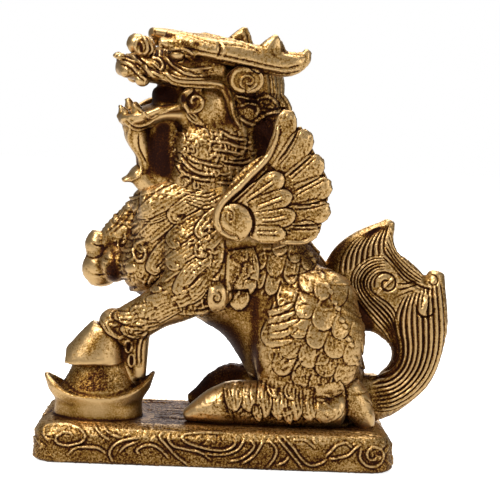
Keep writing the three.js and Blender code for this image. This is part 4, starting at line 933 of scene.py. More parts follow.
# Locks that hang over the chest, with the scales behind the foreleg
def paintShoulder(sheet):
    chest = [(-24.0, 50.0), (-20.8, 60.0), (-12.0, 63.4), (-2.0, 63.6), (1.0, 57.0), (1.4, 38.0),
             (-2.0, 34.6), (-12.0, 35.0), (-17.0, 37.0), (-23.6, 42.0)]
    fillGrain(sheet, [(-12, 58), (-6, 46), (-4, 38)], 7.0, 0.55)
    scatterHooks(sheet, chest, 190, 2.4, 215, 55, 32, height=0.28, dark=0.5)
    for row in [  # root, bend, tip, which way it hooks, half width
        ((-3.0, 42.0), (-5.4, 38.6), (-9.4, 36.4), 1, 1.6),
        ((-6.5, 46.2), (-11.0, 43.8), (-14.6, 40.2), 1, 1.7),
        ((-2.8, 46.4), (-6.4, 43.6), (-9.0, 39.8), 1, 1.6),
        ((-8.0, 51.2), (-12.4, 47.6), (-15.2, 43.8), 1, 1.8),
        ((-3.6, 51.0), (-7.0, 48.0), (-10.6, 45.6), 1, 1.7),
        ((-9.6, 56.4), (-14.4, 52.4), (-18.2, 48.6), 1, 1.9),
        ((-4.0, 55.6), (-7.2, 53.4), (-10.8, 50.4), 1, 1.7),
        ((-8.2, 61.6), (-13.4, 58.4), (-19.4, 54.2), 0, 2.1),
        ((-3.4, 60.2), (-6.4, 58.6), (-10.6, 55.8), 1, 1.7),
        ((-13.4, 63.4), (-16.4, 61.4), (-20.4, 59.6), 0, 1.5),
        ((-0.6, 57.6), (-2.6, 55.2), (-4.8, 52.6), 1, 1.4),
        ((-0.4, 52.0), (-2.2, 50.2), (-4.6, 48.6), 1, 1.4),
    ]:
        lock(sheet, *row)
    comb(sheet, [(-12.0, 56.2), (-15.0, 55.0), (-18.0, 54.4)], [(-12.2, 54.6), (-15.0, 53.2), (-18.0, 52.6)],
         3, 0.26, 0.3, 0.3)
    comb(sheet, [(-1.6, 61.4), (-4.0, 60.4), (-8.6, 60.6)], [(-0.2, 58.4), (-4.0, 56.9), (-8.2, 58.2)], 4,
         0.26, 0.3, 0.4)
    petal(sheet, [(4.0, 48.4), (4.8, 43.4), (4.0, 37.8)], 3.7, lift=(0.4, 1.0), dome=0.5, rim=0.2, root=0.8,
          tip=0.4, grain=1.0)
    petal(sheet, [(7.0, 42.0), (6.4, 40.0), (6.9, 38.6)], 1.5, lift=(0.9, 1.1), dome=0.3, rim=0.2, root=0.7,
          tip=0.5, grain=0.6)
    petal(sheet, [(4.2, 39.6), (4.4, 37.0), (5.0, 35.0)], 2.3, lift=(0.2, 0.7), dome=0.3, rim=0.25, root=0.9,
          tip=0.5, grain=0.8)
    stroke(sheet, [(0.0, 49.0), (2.4, 46.8), (4.6, 46.4), (6.4, 44.6)], 0.35, 0.35, dark=0.5)
    scatterHooks(sheet, [(-8.0, 52.0), (-0.6, 52.4), (-0.6, 42.0), (-5.4, 43.6)], 26, 1.8, 250, 70, 33,
                 dark=0.45)
    scatterHooks(sheet, [(-24.0, 49.0), (-17.6, 50.0), (-17.0, 40.4), (-21.0, 38.0), (-24.0, 42.0)], 26, 2.0,
                 260, 60, 34, dark=0.6)
    scatterHooks(sheet, chest, 130, 1.6, 215, 80, 45, height=0.22, dark=0.5)
    hook = [(-16.4, 49.4), (-18.6, 48.6), (-19.8, 46.8), (-19.4, 45.0), (-18.3, 44.3), (-17.3, 45.0),
            (-17.1, 46.6), (-17.9, 47.6)]
    ridge(sheet, hook, 0.36, 0.45)
    ridge(sheet, [(-23.7, 47.1), (-20.9, 48.5), (-20.2, 50.6), (-18.8, 52.2)], 0.34, 0.45)
    petal(sheet, [(-21.0, 43.4), (-20.4, 42.4), (-20.2, 41.4)], 1.4, lift=(0.3, 0.3), dome=0.4, rim=0,
          grain=0.4)
    shade(sheet, [(1.0, 48.6), (3.0, 47.0), (5.4, 48.2), (7.8, 47.8)], 1.3, 0.65)
    scatterHooks(sheet, [(1.0, 48.6), (8.0, 48.6), (8.0, 38.6), (2.4, 38.4)], 34, 1.5, 240, 80, 44,
                 height=0.26, dark=0.6)
    shade(sheet, [(-2.4, 62.4), (0.4, 60.4)], 2.2, 0.6)
    stroke(sheet, [(0.6, 50.4), (0.6, 46.6), (-0.4, 43.6), (-2.2, 41.4)], 0.4, -0.4, dark=0.5)


# The elbow's knob, the locks down to the knee, the rings above the hoof, and the fetlock
def paintIngotLeg(sheet):
    petal(sheet, [(-1.4, 40.8), (-0.7, 38.6), (-1.0, 35.2)], 2.0, lift=(0.0, 0.7), dome=0.3, rim=0.32,
          rimWidth=0.3, root=0.6, tip=0.5, grain=0.7)
    stroke(sheet, windIn((-0.8, 37.8), 1.5, 1.3, -1, 120, squash=0.8), 0.34, -0.4, dark=0.8)
    border = [(1.3, 41.0), (1.5, 38.2), (0.6, 35.4), (-1.6, 34.4), (-5.2, 33.9), (-9.0, 34.0), (-11.6, 34.9)]
    stroke(sheet, border, 0.45, 0.55, dark=0.2)
    for row in [
        ((-6.4, 37.8), (-8.6, 36.6), (-11.2, 36.4), 0, 1.3),
        ((-11.0, 37.6), (-13.8, 36.4), (-16.4, 36.2), 0, 1.4),
        ((-9.0, 35.4), (-11.6, 34.2), (-14.4, 32.4), -1, 1.6),
        ((-14.4, 34.8), (-17.0, 33.6), (-19.8, 33.6), 0, 1.4),
        ((-13.2, 31.0), (-16.0, 30.4), (-18.8, 30.8), 1, 1.3),
        ((-17.8, 32.6), (-20.6, 31.8), (-23.6, 32.2), 0, 1.2),
        ((-16.6, 29.0), (-19.4, 28.8), (-21.8, 29.6), 0, 1.1),
    ]:
        lock(sheet, *row, grain=0.7)
    stroke(sheet, windIn((-23.6, 31.9), 0.9, 1.0, 1, 160), 0.28, 0.35, dark=0.3)
    for shift in (0.0, 0.95):
        coronet = [(-27.2 + shift, 31.6), (-25.9 + shift, 30.2), (-24.6 + shift, 28.5),
                   (-22.2 + shift, 27.2 - 0.3 * shift)]
        stroke(sheet, coronet, 0.42, 0.6, dark=0.2)
    fillGrain(sheet, [(-29.0, 23.0), (-25.4, 28.4)], 5.0, 0.35)
    stroke(sheet, [(-35.0, 21.6), (-31.0, 20.8), (-26.0, 20.6), (-21.6, 21.4)], 0.4, 0.3)
    shade(sheet, [(-28.6, 24.2), (-27.0, 27.2)], 2.2, 0.62, fade=2.2)
    for x, z, tall in [(-20.0, 25.2, 1.6), (-19.2, 21.8, 1.5)]:
        stroke(sheet, windIn((x, z), tall, 1.0, 1, 90, squash=0.5, inner=0.95), 0.32, 0.45)
        shade(sheet, [(x, z - 0.7), (x, z + 0.7)], 0.5, 0.95, fade=0.3)
    ridge(sheet, [(-15.9, 28.8), (-17.2, 26.8), (-17.6, 24.0), (-17.4, 20.8)], 0.34, 0.45)
    ridge(sheet, [(-20.8, 28.2), (-18.0, 27.4), (-15.8, 29.0)], 0.3, 0.35)
    scatterHooks(sheet, [(-25.0, 32.6), (-14.0, 36.0), (-12.6, 31.0), (-19.0, 26.6), (-22.6, 28.0)], 36, 1.9,
                 200, 60, 35, dark=0.5)


def paintRaisedLeg(sheet):
    for row in [
        ((-13.0, 56.2), (-17.0, 54.6), (-20.8, 52.0), 1, 1.7),
        ((-11.0, 51.2), (-15.4, 49.6), (-19.6, 47.4), 1, 1.7),
        ((-18.6, 51.2), (-21.6, 49.6), (-24.6, 48.8), 0, 1.3),
        ((-9.6, 46.0), (-12.6, 44.0), (-15.6, 41.6), 1, 1.6),
    ]:
        lock(sheet, *row)
    for z in (46.2, 44.8):
        stroke(sheet, [(-29.8, z + 0.4), (-27.4, z), (-24.8, z + 0.6)], 0.4, 0.5, dark=0.3)
    gloss(sheet, [(-28.6, 42.4), (-28.2, 40.4)], 3.0)
    scatterHooks(sheet, [(-26.0, 50.0), (-12.0, 58.0), (-2.0, 56.0), (-8.0, 40.0), (-22.0, 42.0)], 60, 2.2,
                 215, 50, 36, dark=0.5)
    scatterHooks(sheet, [(-26.0, 33.0), (-14.0, 37.0), (-6.0, 38.0), (-12.0, 30.0), (-20.0, 26.0)], 50, 1.9,
                 200, 60, 54, dark=0.5)


# The sides that the photograph doesn't show
def paintBack(sheet):
    outline = [(-9, -24), (9, -24), (9, 58), (-9, 58)]
    scaleField(sheet, outline, (0, 18), (4.3, 0.1), (2.1, -3.7), 2.3, 2.2, 51)
    scatterHooks(sheet, outline, 90, 1.9, 270, 40, 52, height=0.2, dark=0.5)
    fillGrain(sheet, [(0, -22), (0, 56)], 9.0, 1.0, dark=0.56)
    for v in range(-14, 40, 4):  # the plates of the back's ridge
        petal(sheet, [(0.0, v + 2.6), (0.2, v + 1.0), (0.0, v - 2.0)], 2.0, lift=(0.1, 0.6), dome=0.3,
              root=0.8, grain=0.4)


def paintBreast(sheet):
    outline = [(-17, 30), (2, 30), (3.4, 50), (17, 53), (17, 66), (-17, 66)]  # leaves out the raised hoof
    scatterHooks(sheet, outline, 110, 2.0, 270, 60, 53, height=0.24, dark=0.5)
    for z in range(34, 66, 3):
        most = 2.4 if z < 50 else 8.0
        ridge(sheet, [(-5.6, z + 0.9), (-3.0, z + 0.2), (0.0, z), (most / 2, z + 0.1),
                      (most, z + 0.2 * most)], 0.4, 0.5, dark=0.7)
    fillGrain(sheet, [(0, 30), (0, 66)], 17.0, 0.8)


def paintCrown(sheet):
    fillGrain(sheet, [(-2, 20), (-2, 80)], 17.0, 0.7)
    for left, edge in ((-16.0, -1.0), (-1.0, 14.0)):
        comb(sheet, [(left, 24), (left + 0.6, 44), (left + 1.2, 64), (left + 3, 82)],
             [(edge, 24), (edge - 0.4, 44), (edge, 64), (edge, 82)], 12, 0.4, 0.34, 0.65, wave=0.3)


# What shows of the raised far leg past the chest
def paintRaisedLegFromNear(sheet):
    bands = [[(-20.4, 60.4), (-23.4, 55.6), (-27.4, 50.8)], [(-19.6, 57.6), (-22.6, 53.6), (-26.8, 49.6)],
             [(-21.2, 54.8), (-23.0, 52.0), (-25.8, 49.2)]]
    for band in bands:
        stroke(sheet, band, 0.5, -0.4, dark=0.75)
    gloss(sheet, [(-22.0, 59.0), (-25.0, 53.6), (-27.6, 50.4)], 1.4)
    comb(sheet, [(-24.2, 56.0), (-26.6, 52.2)], [(-22.8, 55.0), (-24.6, 51.6)], 4, 0.28, 0.3, 0.5)
    stroke(sheet, [(-31.8, 43.9), (-30.2, 43.5), (-28.4, 43.9), (-26.8, 45.0)], 0.45, -0.45, dark=0.9)
    stroke(sheet, [(-30.6, 47.4), (-29.0, 46.4), (-27.4, 46.6)], 0.36, -0.3, dark=0.7)
    stroke(sheet, [(-31.4, 41.0), (-29.8, 39.8), (-27.2, 39.8), (-25.2, 41.2)], 0.4, -0.3, dark=0.6)
    fillGrain(sheet, [(-29.4, 47.4), (-28.2, 40.4)], 3.6, 0.6)
    shade(sheet, [(-26.4, 48.4), (-25.0, 45.6), (-24.2, 42.4), (-24.8, 39.4)], 1.1, 0.9)
    gloss(sheet, [(-29.8, 42.4), (-29.4, 40.0)], 1.6)
    gloss(sheet, [(-29.4, 48.4), (-30.0, 47.4)], 1.1)
    shade(sheet, [(-22.0, 38.6), (-18.6, 36.8)], 1.9, 0.85)


def paintHead(sheet):
    # forward and up, in the head's own middle plane
    whisker = [(19.1, 5.0), (16.4, 2.9), (14.3, 1.7), (11.3, 1.6), (6.1, 1.7), (4.0, 1.1), (2.7, -0.4),
               (1.9, -2.8), (1.0, -5.3), (-0.8, -7.9)]
    stroke(sheet, whisker, 0.42, 0.55, taper=0.2)
    stroke(sheet, [(x + 0.1, z + 0.75) for x, z in whisker[:5]], 0.28, 0.35, dark=0.2)
    stroke(sheet, [(x, z - 0.85) for x, z in whisker[:5]], 0.3, 0.3, dark=0.35)
    stroke(sheet, [(21.6, 2.6), (19.0, 1.9), (15.4, 0.5), (12.6, -0.2)], 0.35, -0.25, dark=0.4)
    for line in ([(16.6, 7.0), (15.5, 8.2), (14.0, 8.6), (12.2, 8.3), (10.6, 7.0)],
                 [(16.4, 6.5), (14.4, 5.1), (12.0, 4.2), (9.0, 4.5), (6.4, 5.0)]):
        stroke(sheet, line, 0.38, 0.5, dark=0.2)
    stroke(sheet, [(15.8, 6.2), (13.9, 4.4), (11.6, 3.4), (8.6, 3.6)], 0.3, -0.3, dark=0.6)
    cuts, distance, *_ = alongLine(sheet, np.array([(13.6, 6.7), (14.6, 6.9)]), 2.0)
    sheet["height"][cuts] += 0.5 * np.clip(1 - (distance / 1.5) ** 2, 0, 1)
    stroke(sheet, windIn((14.1, 6.8), 1.15, 1.0, 1, 90, squash=1.35, inner=0.95), 0.25, -0.3, dark=0.7)
    shade(sheet, [(11.2, 6.8), (9.8, 6.2)], 1.0, 0.95)
    shade(sheet, [(16.0, 9.6), (12.0, 9.4), (8.6, 7.4), (5.2, 6.2)], 0.8, 0.8)
    fillGrain(sheet, [(12.6, 3.4), (8.0, 3.4), (5.0, 3.9)], 1.2, 0.9)
    shade(sheet, [(21.9, 8.8), (21.5, 7.4)], 0.6, 0.95, fade=0.4)
    stroke(sheet, [(21.9, 8.8), (21.5, 7.4)], 0.6, -0.5)
    for line in [
        [(23.0, 7.0), (22.9, 9.0), (21.6, 10.4), (20.6, 9.4), (20.2, 7.8), (20.6, 6.6)],
        [(20.0, 9.6), (19.1, 8.0), (19.8, 6.6)], [(18.3, 9.2), (17.2, 7.7), (17.5, 6.5)],
        [(19.2, 9.6), (18.3, 7.8), (18.9, 6.2)],
        [(26.0, 6.2), (23.8, 6.3), (21.8, 5.0), (19.8, 2.6), (18.1, 1.6)],
        [(25.6, 4.7), (23.5, 4.1), (21.5, 2.2), (20.1, 1.3)],
        [(23.1, 5.2), (21.4, 4.6), (20.0, 3.3), (17.4, 2.4)],
        [(18.8, 6.2), (17.5, 5.8), (16.9, 4.5), (17.5, 3.2)],
        [(16.2, 6.0), (14.6, 4.6), (12.6, 3.6), (10.4, 3.2)],
    ]:
        ridge(sheet, line, 0.36, 0.42, dark=0.65)
    for place, size in (((24.4, 2.5), 0.9), ((20.6, 0.8), 1.1)):
        petal(sheet, [place, (place[0] - 0.3, place[1])], size, lift=(0.15, 0.15), dome=0.3, rim=0, root=1,
              tip=0.1, polish=0.5)
    fillGrain(sheet, [(24.0, 4.0), (19.0, 3.6)], 2.6, 0.6)
    fillGrain(sheet, [(16.0, 1.0), (10.4, -0.2)], 1.0, 0.8)
    curl = windIn((10.0, -2.6), 2.7, 1.25, -1, 70, inner=0.25, count=12)
    stroke(sheet, [(13.0, -1.2)] + curl, 0.45, 0.6, taper=0.2, dark=0.25)
    stroke(sheet, [(11.8, -3.6), (10.2, -5.8), (8.0, -7.4)], 0.4, 0.45, dark=0.3)
    stroke(sheet, [(10.6, -4.4), (9.0, -6.2), (7.8, -7.5), (10.0, -6.9), (11.4, -5.4)], 0.3, 0.35, dark=0.3)
    fillGrain(sheet, [(4.6, -1.4), (4.8, -7.6), (8.4, -9.6)], 2.2, 0.3)
    gloss(sheet, [(17.2, -8.0), (13.0, -5.6), (10.4, -8.2)], 1.6)
    stroke(sheet, [(22.8, -4.0), (20.8, -5.6), (18.6, -7.0), (16.7, -5.6), (14.3, -4.3), (11.9, -3.2)], 0.32,
           0.45, dark=0.3)
    stroke(sheet, [(23.6, -7.6), (21.5, -8.9), (19.6, -8.6), (17.8, -7.4)], 0.35, 0.4, dark=0.3)
    stroke(sheet, [(23.6, -8.7), (21.4, -10.0), (19.4, -9.8), (17.4, -8.9)], 0.3, 0.35, dark=0.3)
    for x in (24.4, 23.4):
        stroke(sheet, [(x, -4.4), (x - 0.2, -5.9)], 0.4, 0.4, dark=0.4)
    stroke(sheet, [(22.6, -9.6), (22.2, -13.0), (19.8, -16.8), (19.4, -19.6), (21.4, -21.8)], 0.4, 0.35,
           dark=0.2)
    stroke(sheet, [(20.6, -11.0), (20.2, -14.0), (18.2, -17.4)], 0.35, -0.3, dark=0.4)
    shade(sheet, [(15.4, -9.4), (15.4, -13.4), (14.6, -18.6)], 2.2, 1.0)
    shade(sheet, [(-8.2, -6.4), (-7.8, -9.6), (-7.2, -13.4)], 3.0, 1.0)
    shade(sheet, [(12.8, -2.0), (14.4, -2.8), (16.6, -3.6)], 1.5, 1.0)
    paintEarAndAntler(sheet)


# The scrolled ear, the antler's ring and edges, and the hair behind the cheek
def paintEarAndAntler(sheet):
    cuts, distance, *_ = alongLine(sheet, np.array([(-1.8, 2.9), (0.4, 2.9)]), 3.4)
    oval = distance < 2.6
    sheet["height"][cuts] = np.where(oval, 0.3 + 0.5 * bead(distance - 2.2, 0.5), sheet["height"][cuts])
    sheet["dark"][cuts] = np.where(oval, 0.1, np.maximum(sheet["dark"][cuts], bead(distance - 3.0, 0.6)))
    stroke(sheet, windIn((-0.8, 2.8), 1.7, 1.4, 1, 200, squash=1.3), 0.34, 0.5, dark=0.35)
    antler = [(16.4, 11.0), (12.4, 10.4), (8.4, 9.0), (3.6, 8.6), (-1.4, 8.0), (-6.0, 7.6), (-10.0, 7.4),
              (-13.4, 8.6)]
    fillGrain(sheet, antler, 3.8, 0.6)
    shade(sheet, [(16.8, 11.3), (15.8, 11.0)], 0.8, 0.95, fade=0.5)
    ridge(sheet, [(13.0, 8.2), (6.8, 7.4), (0.6, 6.6), (-5.6, 5.7), (-8.7, 5.5), (-12.0, 6.4)], 0.45, 0.15,
          dark=0.3)
    ridge(sheet, [(13.6, 12.4), (11.0, 12.0), (6.3, 10.8), (2.7, 10.8), (-1.4, 10.5), (-3.5, 9.7)], 0.45,
          0.12, dark=0.2)
    stroke(sheet, [(5.9, 11.4), (5.6, 9.2), (6.0, 7.2)], 0.4, -0.4, dark=0.7)
    stroke(sheet, [(5.0, 11.2), (4.7, 9.0), (5.1, 7.0)], 0.5, 0.35)
    for x, z in [(15.0, 11.2), (10.2, 9.8)]:
        shade(sheet, [(x, z), (x + 0.5, z + 0.1)], 0.7, 0.8, fade=0.5)
    shade(sheet, [(12.0, 7.2), (8.4, 5.6), (4.6, 5.2), (0.0, 5.6)], 0.6, 0.7)
    shade(sheet, [(4.0, 3.0), (3.6, 0.6), (2.4, -1.6)], 1.0, 0.8)
    shade(sheet, [(-5.2, 4.6), (-6.2, 0.8), (-4.0, -1.6), (-0.4, -1.4)], 1.3, 0.85)
    hair = [(1.2, 0.4), (-4.0, 0.2), (-9.6, -0.4), (-12.6, -5.4), (-6.0, -8.4), (-1.6, -7.6), (0.8, -3.8)]
    fillGrain(sheet, [(-2.0, -3.6), (-9.0, -3.6)], 4.2, 1.0, dark=0.5)
    scatterHooks(sheet, hair, 34, 2.6, 190, 40, 40, height=0.4, dark=0.8)
    for line in [[(0.4, -0.8), (-3.6, -1.4), (-6.4, -0.6), (-9.6, -2.4)],
                 [(-0.6, -3.0), (-2.8, -2.2), (-4.6, -3.4), (-4.2, -5.2)],
                 [(-10.6, -3.6), (-7.4, -4.2), (-4.8, -5.8), (-3.6, -7.2)],
                 [(-0.2, -5.4), (-2.2, -6.6), (-4.4, -7.0)]]:
        ridge(sheet, line, 0.4, 0.5, dark=0.8)


def paintBaseSide(sheet):
    fillGrain(sheet, [(-40, 4.2), (40, 4.2)], 5.0, 1.0, dark=0.5)
    lines = [  # the clouds, from left to right
        [(-36.2, 5.0), (-37.6, 6.4), (-37.4, 7.8), (-35.8, 8.4), (-32.8, 8.5), (-30.0, 8.0), (-28.4, 6.8),
         (-28.4, 5.6), (-29.6, 4.7), (-32.0, 4.2), (-34.2, 4.6), (-34.6, 5.8), (-33.2, 6.9), (-31.4, 6.8),
         (-31.2, 5.9)],
        [(-26.6, 8.6), (-25.0, 7.0), (-22.8, 5.6)], [(-24.4, 8.4), (-22.8, 7.0), (-20.0, 6.2)],
        [(-22.0, 1.0), (-22.8, 2.9), (-21.8, 4.6), (-19.6, 5.8), (-16.2, 6.4)],
        [(-20.6, 3.0), (-19.4, 4.4), (-16.8, 5.6)],
        [(-31.9, 2.2), (-30.2, 3.7), (-27.6, 4.0), (-25.2, 3.8), (-23.6, 2.8)],
        [(-16.3, 2.9), (-16.9, 3.6), (-15.6, 4.6), (-13.6, 4.9), (-11.6, 4.0), (-9.8, 2.3)],
        [(-11.2, 7.8), (-12.0, 6.8), (-10.6, 5.2), (-8.2, 2.8), (-6.2, 1.4), (-5.2, 0.4)],
        [(-9.8, 7.6), (-10.0, 6.2), (-8.7, 4.8), (-6.0, 4.3), (-2.8, 3.6), (-0.4, 2.2)],
        [(2.0, 8.0), (-3.0, 7.9), (-6.2, 7.5), (-7.0, 6.7), (-6.0, 5.8), (-3.0, 4.8), (0.0, 4.3), (2.6, 4.4),
         (4.4, 5.4), (4.8, 6.8)],
        [(-4.4, 4.4), (-1.0, 3.4), (2.4, 3.5), (5.2, 4.6), (6.9, 7.2)],
        [(8.2, 6.8), (8.9, 5.4), (7.6, 3.7), (5.8, 2.5), (3.4, 2.0)],
        [(10.8, 6.8), (9.9, 4.9), (8.6, 3.1), (6.4, 1.6)],
        [(12.2, 6.8), (13.6, 5.3), (13.8, 3.9), (13.0, 2.3), (11.9, 0.9)],
        [(14.1, 7.3), (16.0, 5.3), (18.0, 3.1), (19.9, 0.9)],
        [(15.4, 7.4), (17.4, 5.6), (19.1, 3.4), (21.3, 1.8), (23.6, 2.2), (25.0, 3.2)],
        [(14.1, 1.5), (15.7, 2.3), (16.6, 3.4)], [(17.6, 7.2), (20.2, 7.1), (22.4, 5.6)],
        [(24.7, 3.8), (25.8, 4.9), (27.2, 6.4), (29.2, 6.9), (30.6, 5.8)],
        [(25.4, 3.2), (27.4, 3.6), (29.6, 4.2), (31.0, 5.6), (32.4, 6.6)],
    ]
    for line in lines:
        ridge(sheet, line, 0.27, 0.5, groove=0.14, dark=0.5)
    ridge(sheet, windIn((35.4, 4.4), 3.0, 1.6, 1, 150, squash=1.1, count=14), 0.27, 0.5, groove=0.14,
          dark=0.5)
    scatterHooks(sheet, [(-38, 1), (38, 1), (38, 8), (-38, 8)], 44, 2.0, 0, 180, 55, height=0.2, dark=0.3)
    stroke(sheet, windIn((0.8, 6.3), 0.9, 0.9, 1, 180, squash=1.3), 0.28, 0.35, dark=0.3)
    for a, b, width in [((-30.4, 2.4), (-24.4, 2.2), 1.4), ((-34, 6.6), (-31, 7), 1.0),
                        ((28, 1.8), (36, 2.2), 1.4), ((21, 4.6), (23, 4.4), 1.2)]:
        gloss(sheet, [a, b], 0.6 * width)


def paintIngot(sheet):
    gloss(sheet, [(-37.0, 12.4), (-15.0, 12.4)], 3.4)
    for x in (-36.6, -16.0):
        shade(sheet, [(x - 0.6, 16.0), (x, 9.0)], 3.0, 0.72, fade=3.0)
    shade(sheet, [(-32.6, 20.4), (-21.0, 20.4)], 0.9, 0.8)
    fillGrain(sheet, [(-29.4, 18.4), (-24.2, 18.4)], 3.6, 1.0, dark=0.56)
    shade(sheet, [(-35.6, 17.4), (-31.0, 14.9), (-26.2, 14.3), (-21.4, 14.9), (-16.8, 17.4)], 0.6, 0.8,
          fade=0.5)
    scatterHooks(sheet, [(-33.0, 16.0), (-32.0, 20.4), (-21.6, 20.4), (-20.0, 16.0), (-26.4, 15.0)], 50, 1.0,
                 20, 90, 42, height=0.16, dark=0.66)


def paintBaseTop(sheet):
    spread = np.random.default_rng(7)
    inset = np.maximum(np.abs(sheet["u"])[:, None] - 36.5, np.abs(sheet["v"])[None] - 14.2)
    sheet["dark"][:] = 0.7 * np.clip(-inset / 1.2, 0, 1)
    for k in range(150):  # streaks like wood, along the length
        x, y = spread.uniform(-39, 36), spread.uniform(-16, 16)
        length = spread.uniform(3, 9)
        bend = spread.uniform(-0.5, 0.5)
        stroke(sheet, [(x, y), (x + length / 2, y + bend), (x + length, y)], 0.34, -0.28, dark=0.35)
    cuts, distance, *_ = alongLine(sheet, np.array([(-32.0, -5.6), (-20.6, -5.6)]), 9.0)
    sheet["height"][cuts] *= distance > 8.2
    sheet["grain"][:] = 1.0


# A view says how a sheet is laid on the clay: across and up lie along the sheet, toward leaves it
def layOn(sheet, across, up, toward, middle=(0, 0, 0), added=False):
    return {"sheet": sheet, "added": added, "across": np.array(across, float), "up": np.array(up, float),
            "toward": np.array(toward, float), "middle": np.array(middle, float), "front": None}


def bothFaces(nearSheet, farSheet, added=False):
    return [layOn(sheet, right, upright, (0, side, 0), added=added)
            for sheet, side in ((nearSheet, near), (farSheet, far))]


def bothEnds(sheet):
    return [layOn(sheet, (0, -end, 0), upright, (end, 0, 0)) for end in (-1, 1)]


def fromBehind(sheet):
    return [layOn(sheet, ahead, (-0.6, 0, 0.8), (0.8, 0, 0.6))]


def smoothStep(values, low, high):
    t = np.clip((values - low) / (high - low), 0, 1)
    return t * t * (3 - 2 * t)


# Where points fall on a view's sheet, and how much of each shows there
def seenFrom(view, points, normals):
    local = points - view["middle"]
    u, v, depth = (local @ view[key] for key in ("across", "up", "toward"))
    weight = smoothStep(normals @ view["toward"], 0.08, 0.4)  # none on what faces away
    for place, axis in ((u, view["sheet"]["u"]), (v, view["sheet"]["v"])):
        weight *= (place > axis[0]) & (place < axis[-1])
    if view["front"] is None:
        cell = 0.6  # mm, the grid that finds the outermost surface
        low = np.array((u.min(), v.min()))
        front = np.full((int((u.max() - low[0]) / cell) + 2, int((v.max() - low[1]) / cell) + 2), -1e3)
        np.maximum.at(front, (((u - low[0]) / cell).astype(int), ((v - low[1]) / cell).astype(int)), depth)
        view["front"] = (front, low, cell)
    front, low, cell = view["front"]
    column = [np.clip(((w - a) / cell).astype(int), 0, n - 1) for w, a, n in zip((u, v), low, front.shape)]
    weight = weight * smoothStep(depth - front[column[0], column[1]], -2.4, -1.4)  # none on what lies behind
    return np.stack([u, v], 1), weight


# Where two views show the same point they share it, except that an added one counts in full
def sharedViews(views, points, normals):
    seen = [(view, *seenFrom(view, points, normals)) for view in views]
    total = np.maximum(sum(weight for view, _, weight in seen if not view["added"]), 1)
    return [(view["sheet"], places, weight / (1 if view["added"] else total))
            for view, places, weight in seen]


def readSheet(sheet, key, places):
    return sampleBlock(sheet[key], (sheet["u"], sheet["v"]), places)


grainHeight = {"everywhere": 0.012, "grainy": 0.03, "polished": 0.01}  # mm high, and less where polished


# Grain, as small seeded specks, and how deep each point lies below its surroundings
def finishSheet(sheet, seed):
    chance = np.random.default_rng(seed).standard_normal(sheet["height"].shape).astype(np.float32)
    bumps = blur(chance, 1)
    amount = grainHeight["everywhere"] + grainHeight["grainy"] * np.clip(sheet["grain"], 0, 1)
    amount = amount - grainHeight["polished"] * np.clip(sheet["polish"], 0, 1)
    sheet["height"] += amount * bumps / bumps.std()
    sheet["groove"] = np.clip((blur(sheet["height"], 5) - sheet["height"]) / 0.16, -1.5, 1.5)


def normalsOf(mesh):
    normals = np.empty(len(mesh.vertices) * 3, np.float32)
    mesh.vertex_normals.foreach_get("vector", normals)
    return normals.reshape(-1, 3).astype(np.float64)


def raiseRelief(piece, views):
    mesh = piece.data
    points, normals = pointsOf(mesh), normalsOf(mesh)
    rise = np.zeros(len(points))
    for sheet, places, weight in sharedViews(views, points, normals):
        rise += weight * readSheet(sheet, "height", places)
    points += rise[:, None] * normals
    mesh.vertices.foreach_set("co", (points * millimetre).astype(np.float32).ravel())
    mesh.update()


# How far each point lies below the mean of its neighbours, in mm, after so many rounds of averaging
def hollows(mesh, rounds):
    points, normals = pointsOf(mesh), normalsOf(mesh)
    edges = np.empty(len(mesh.edges) * 2, np.int32)
    mesh.edges.foreach_get("vertices", edges)
    a, b = edges.reshape(-1, 2).T
    count = np.bincount(a, minlength=len(points)) + np.bincount(b, minlength=len(points)) + 1e-9
    smooth = points.copy()
    result = []
    for step in range(max(rounds)):
        for k in range(3):
            value = smooth[:, k]
            total = np.bincount(a, value[b], len(points)) + np.bincount(b, value[a], len(points))
            smooth[:, k] = 0.5 * value + 0.5 * total / count
        if step + 1 in rounds:
            result.append(((smooth - points) * normals).sum(1))
    return result


def writeAttribute(mesh, name, values):
    attribute = mesh.attributes.new(name, "FLOAT", "POINT")
    attribute.data.foreach_set("value", values.astype(np.float32))


patina = {
    "level": 0.42,  # how stained an even face is, from 0, rubbed bright, to 1, dark brown
    "rounds": (4, 24, 160),  # of averaging, for fine, broad and wide hollows
    "fine": 2.4, "broad": 0.9, "wide": 0.25,  # more stain for each mm below the surroundings
    "groove": 0.22,  # and for the sheet's own grooves
}


# Marks for the patina and the painted shade: how stained the brass is, with the sheets' painted shade and the
# shade pools added in, and grain and polish from the sheets
def markPatina(piece, views, shadeAndStainPools):
    mesh = piece.data
    points, normals = pointsOf(mesh), normalsOf(mesh)
    fine, broad, wide = hollows(mesh, patina["rounds"])
    marks = {key: np.zeros(len(points)) for key in ("groove", "dark", "grain", "polish")}
    for sheet, places, weight in sharedViews(views, points, normals):
        for key in marks:
            marks[key] += weight * readSheet(sheet, key, places)
    patinaAndShade = patina["level"] + patina["fine"] * fine + patina["broad"] * broad + patina["wide"] * wide
    patinaAndShade += patina["groove"] * marks["groove"]
    patinaAndShade = np.clip(patinaAndShade, 0, 1)
    # the sheets' dark is stain in the grooves, and painted shade where shade() laid it
    patinaAndShade = np.maximum(patinaAndShade, np.clip(marks["dark"], 0, 1))
    # painted shade, partly stain, in pockets and under and between parts
    for place, radii, amount in shadeAndStainPools:
        reach = np.sqrt((((points - place) / radii) ** 2).sum(1))
        patinaAndShade = np.maximum(patinaAndShade, amount * (1 - smoothStep(reach, 0.7, 1.1)))
    writeAttribute(mesh, "patinaAndShade", patinaAndShade)
    writeAttribute(mesh, "grain", np.clip(marks["grain"], 0, 1))
    writeAttribute(mesh, "polish", np.clip(marks["polish"], 0, 1))


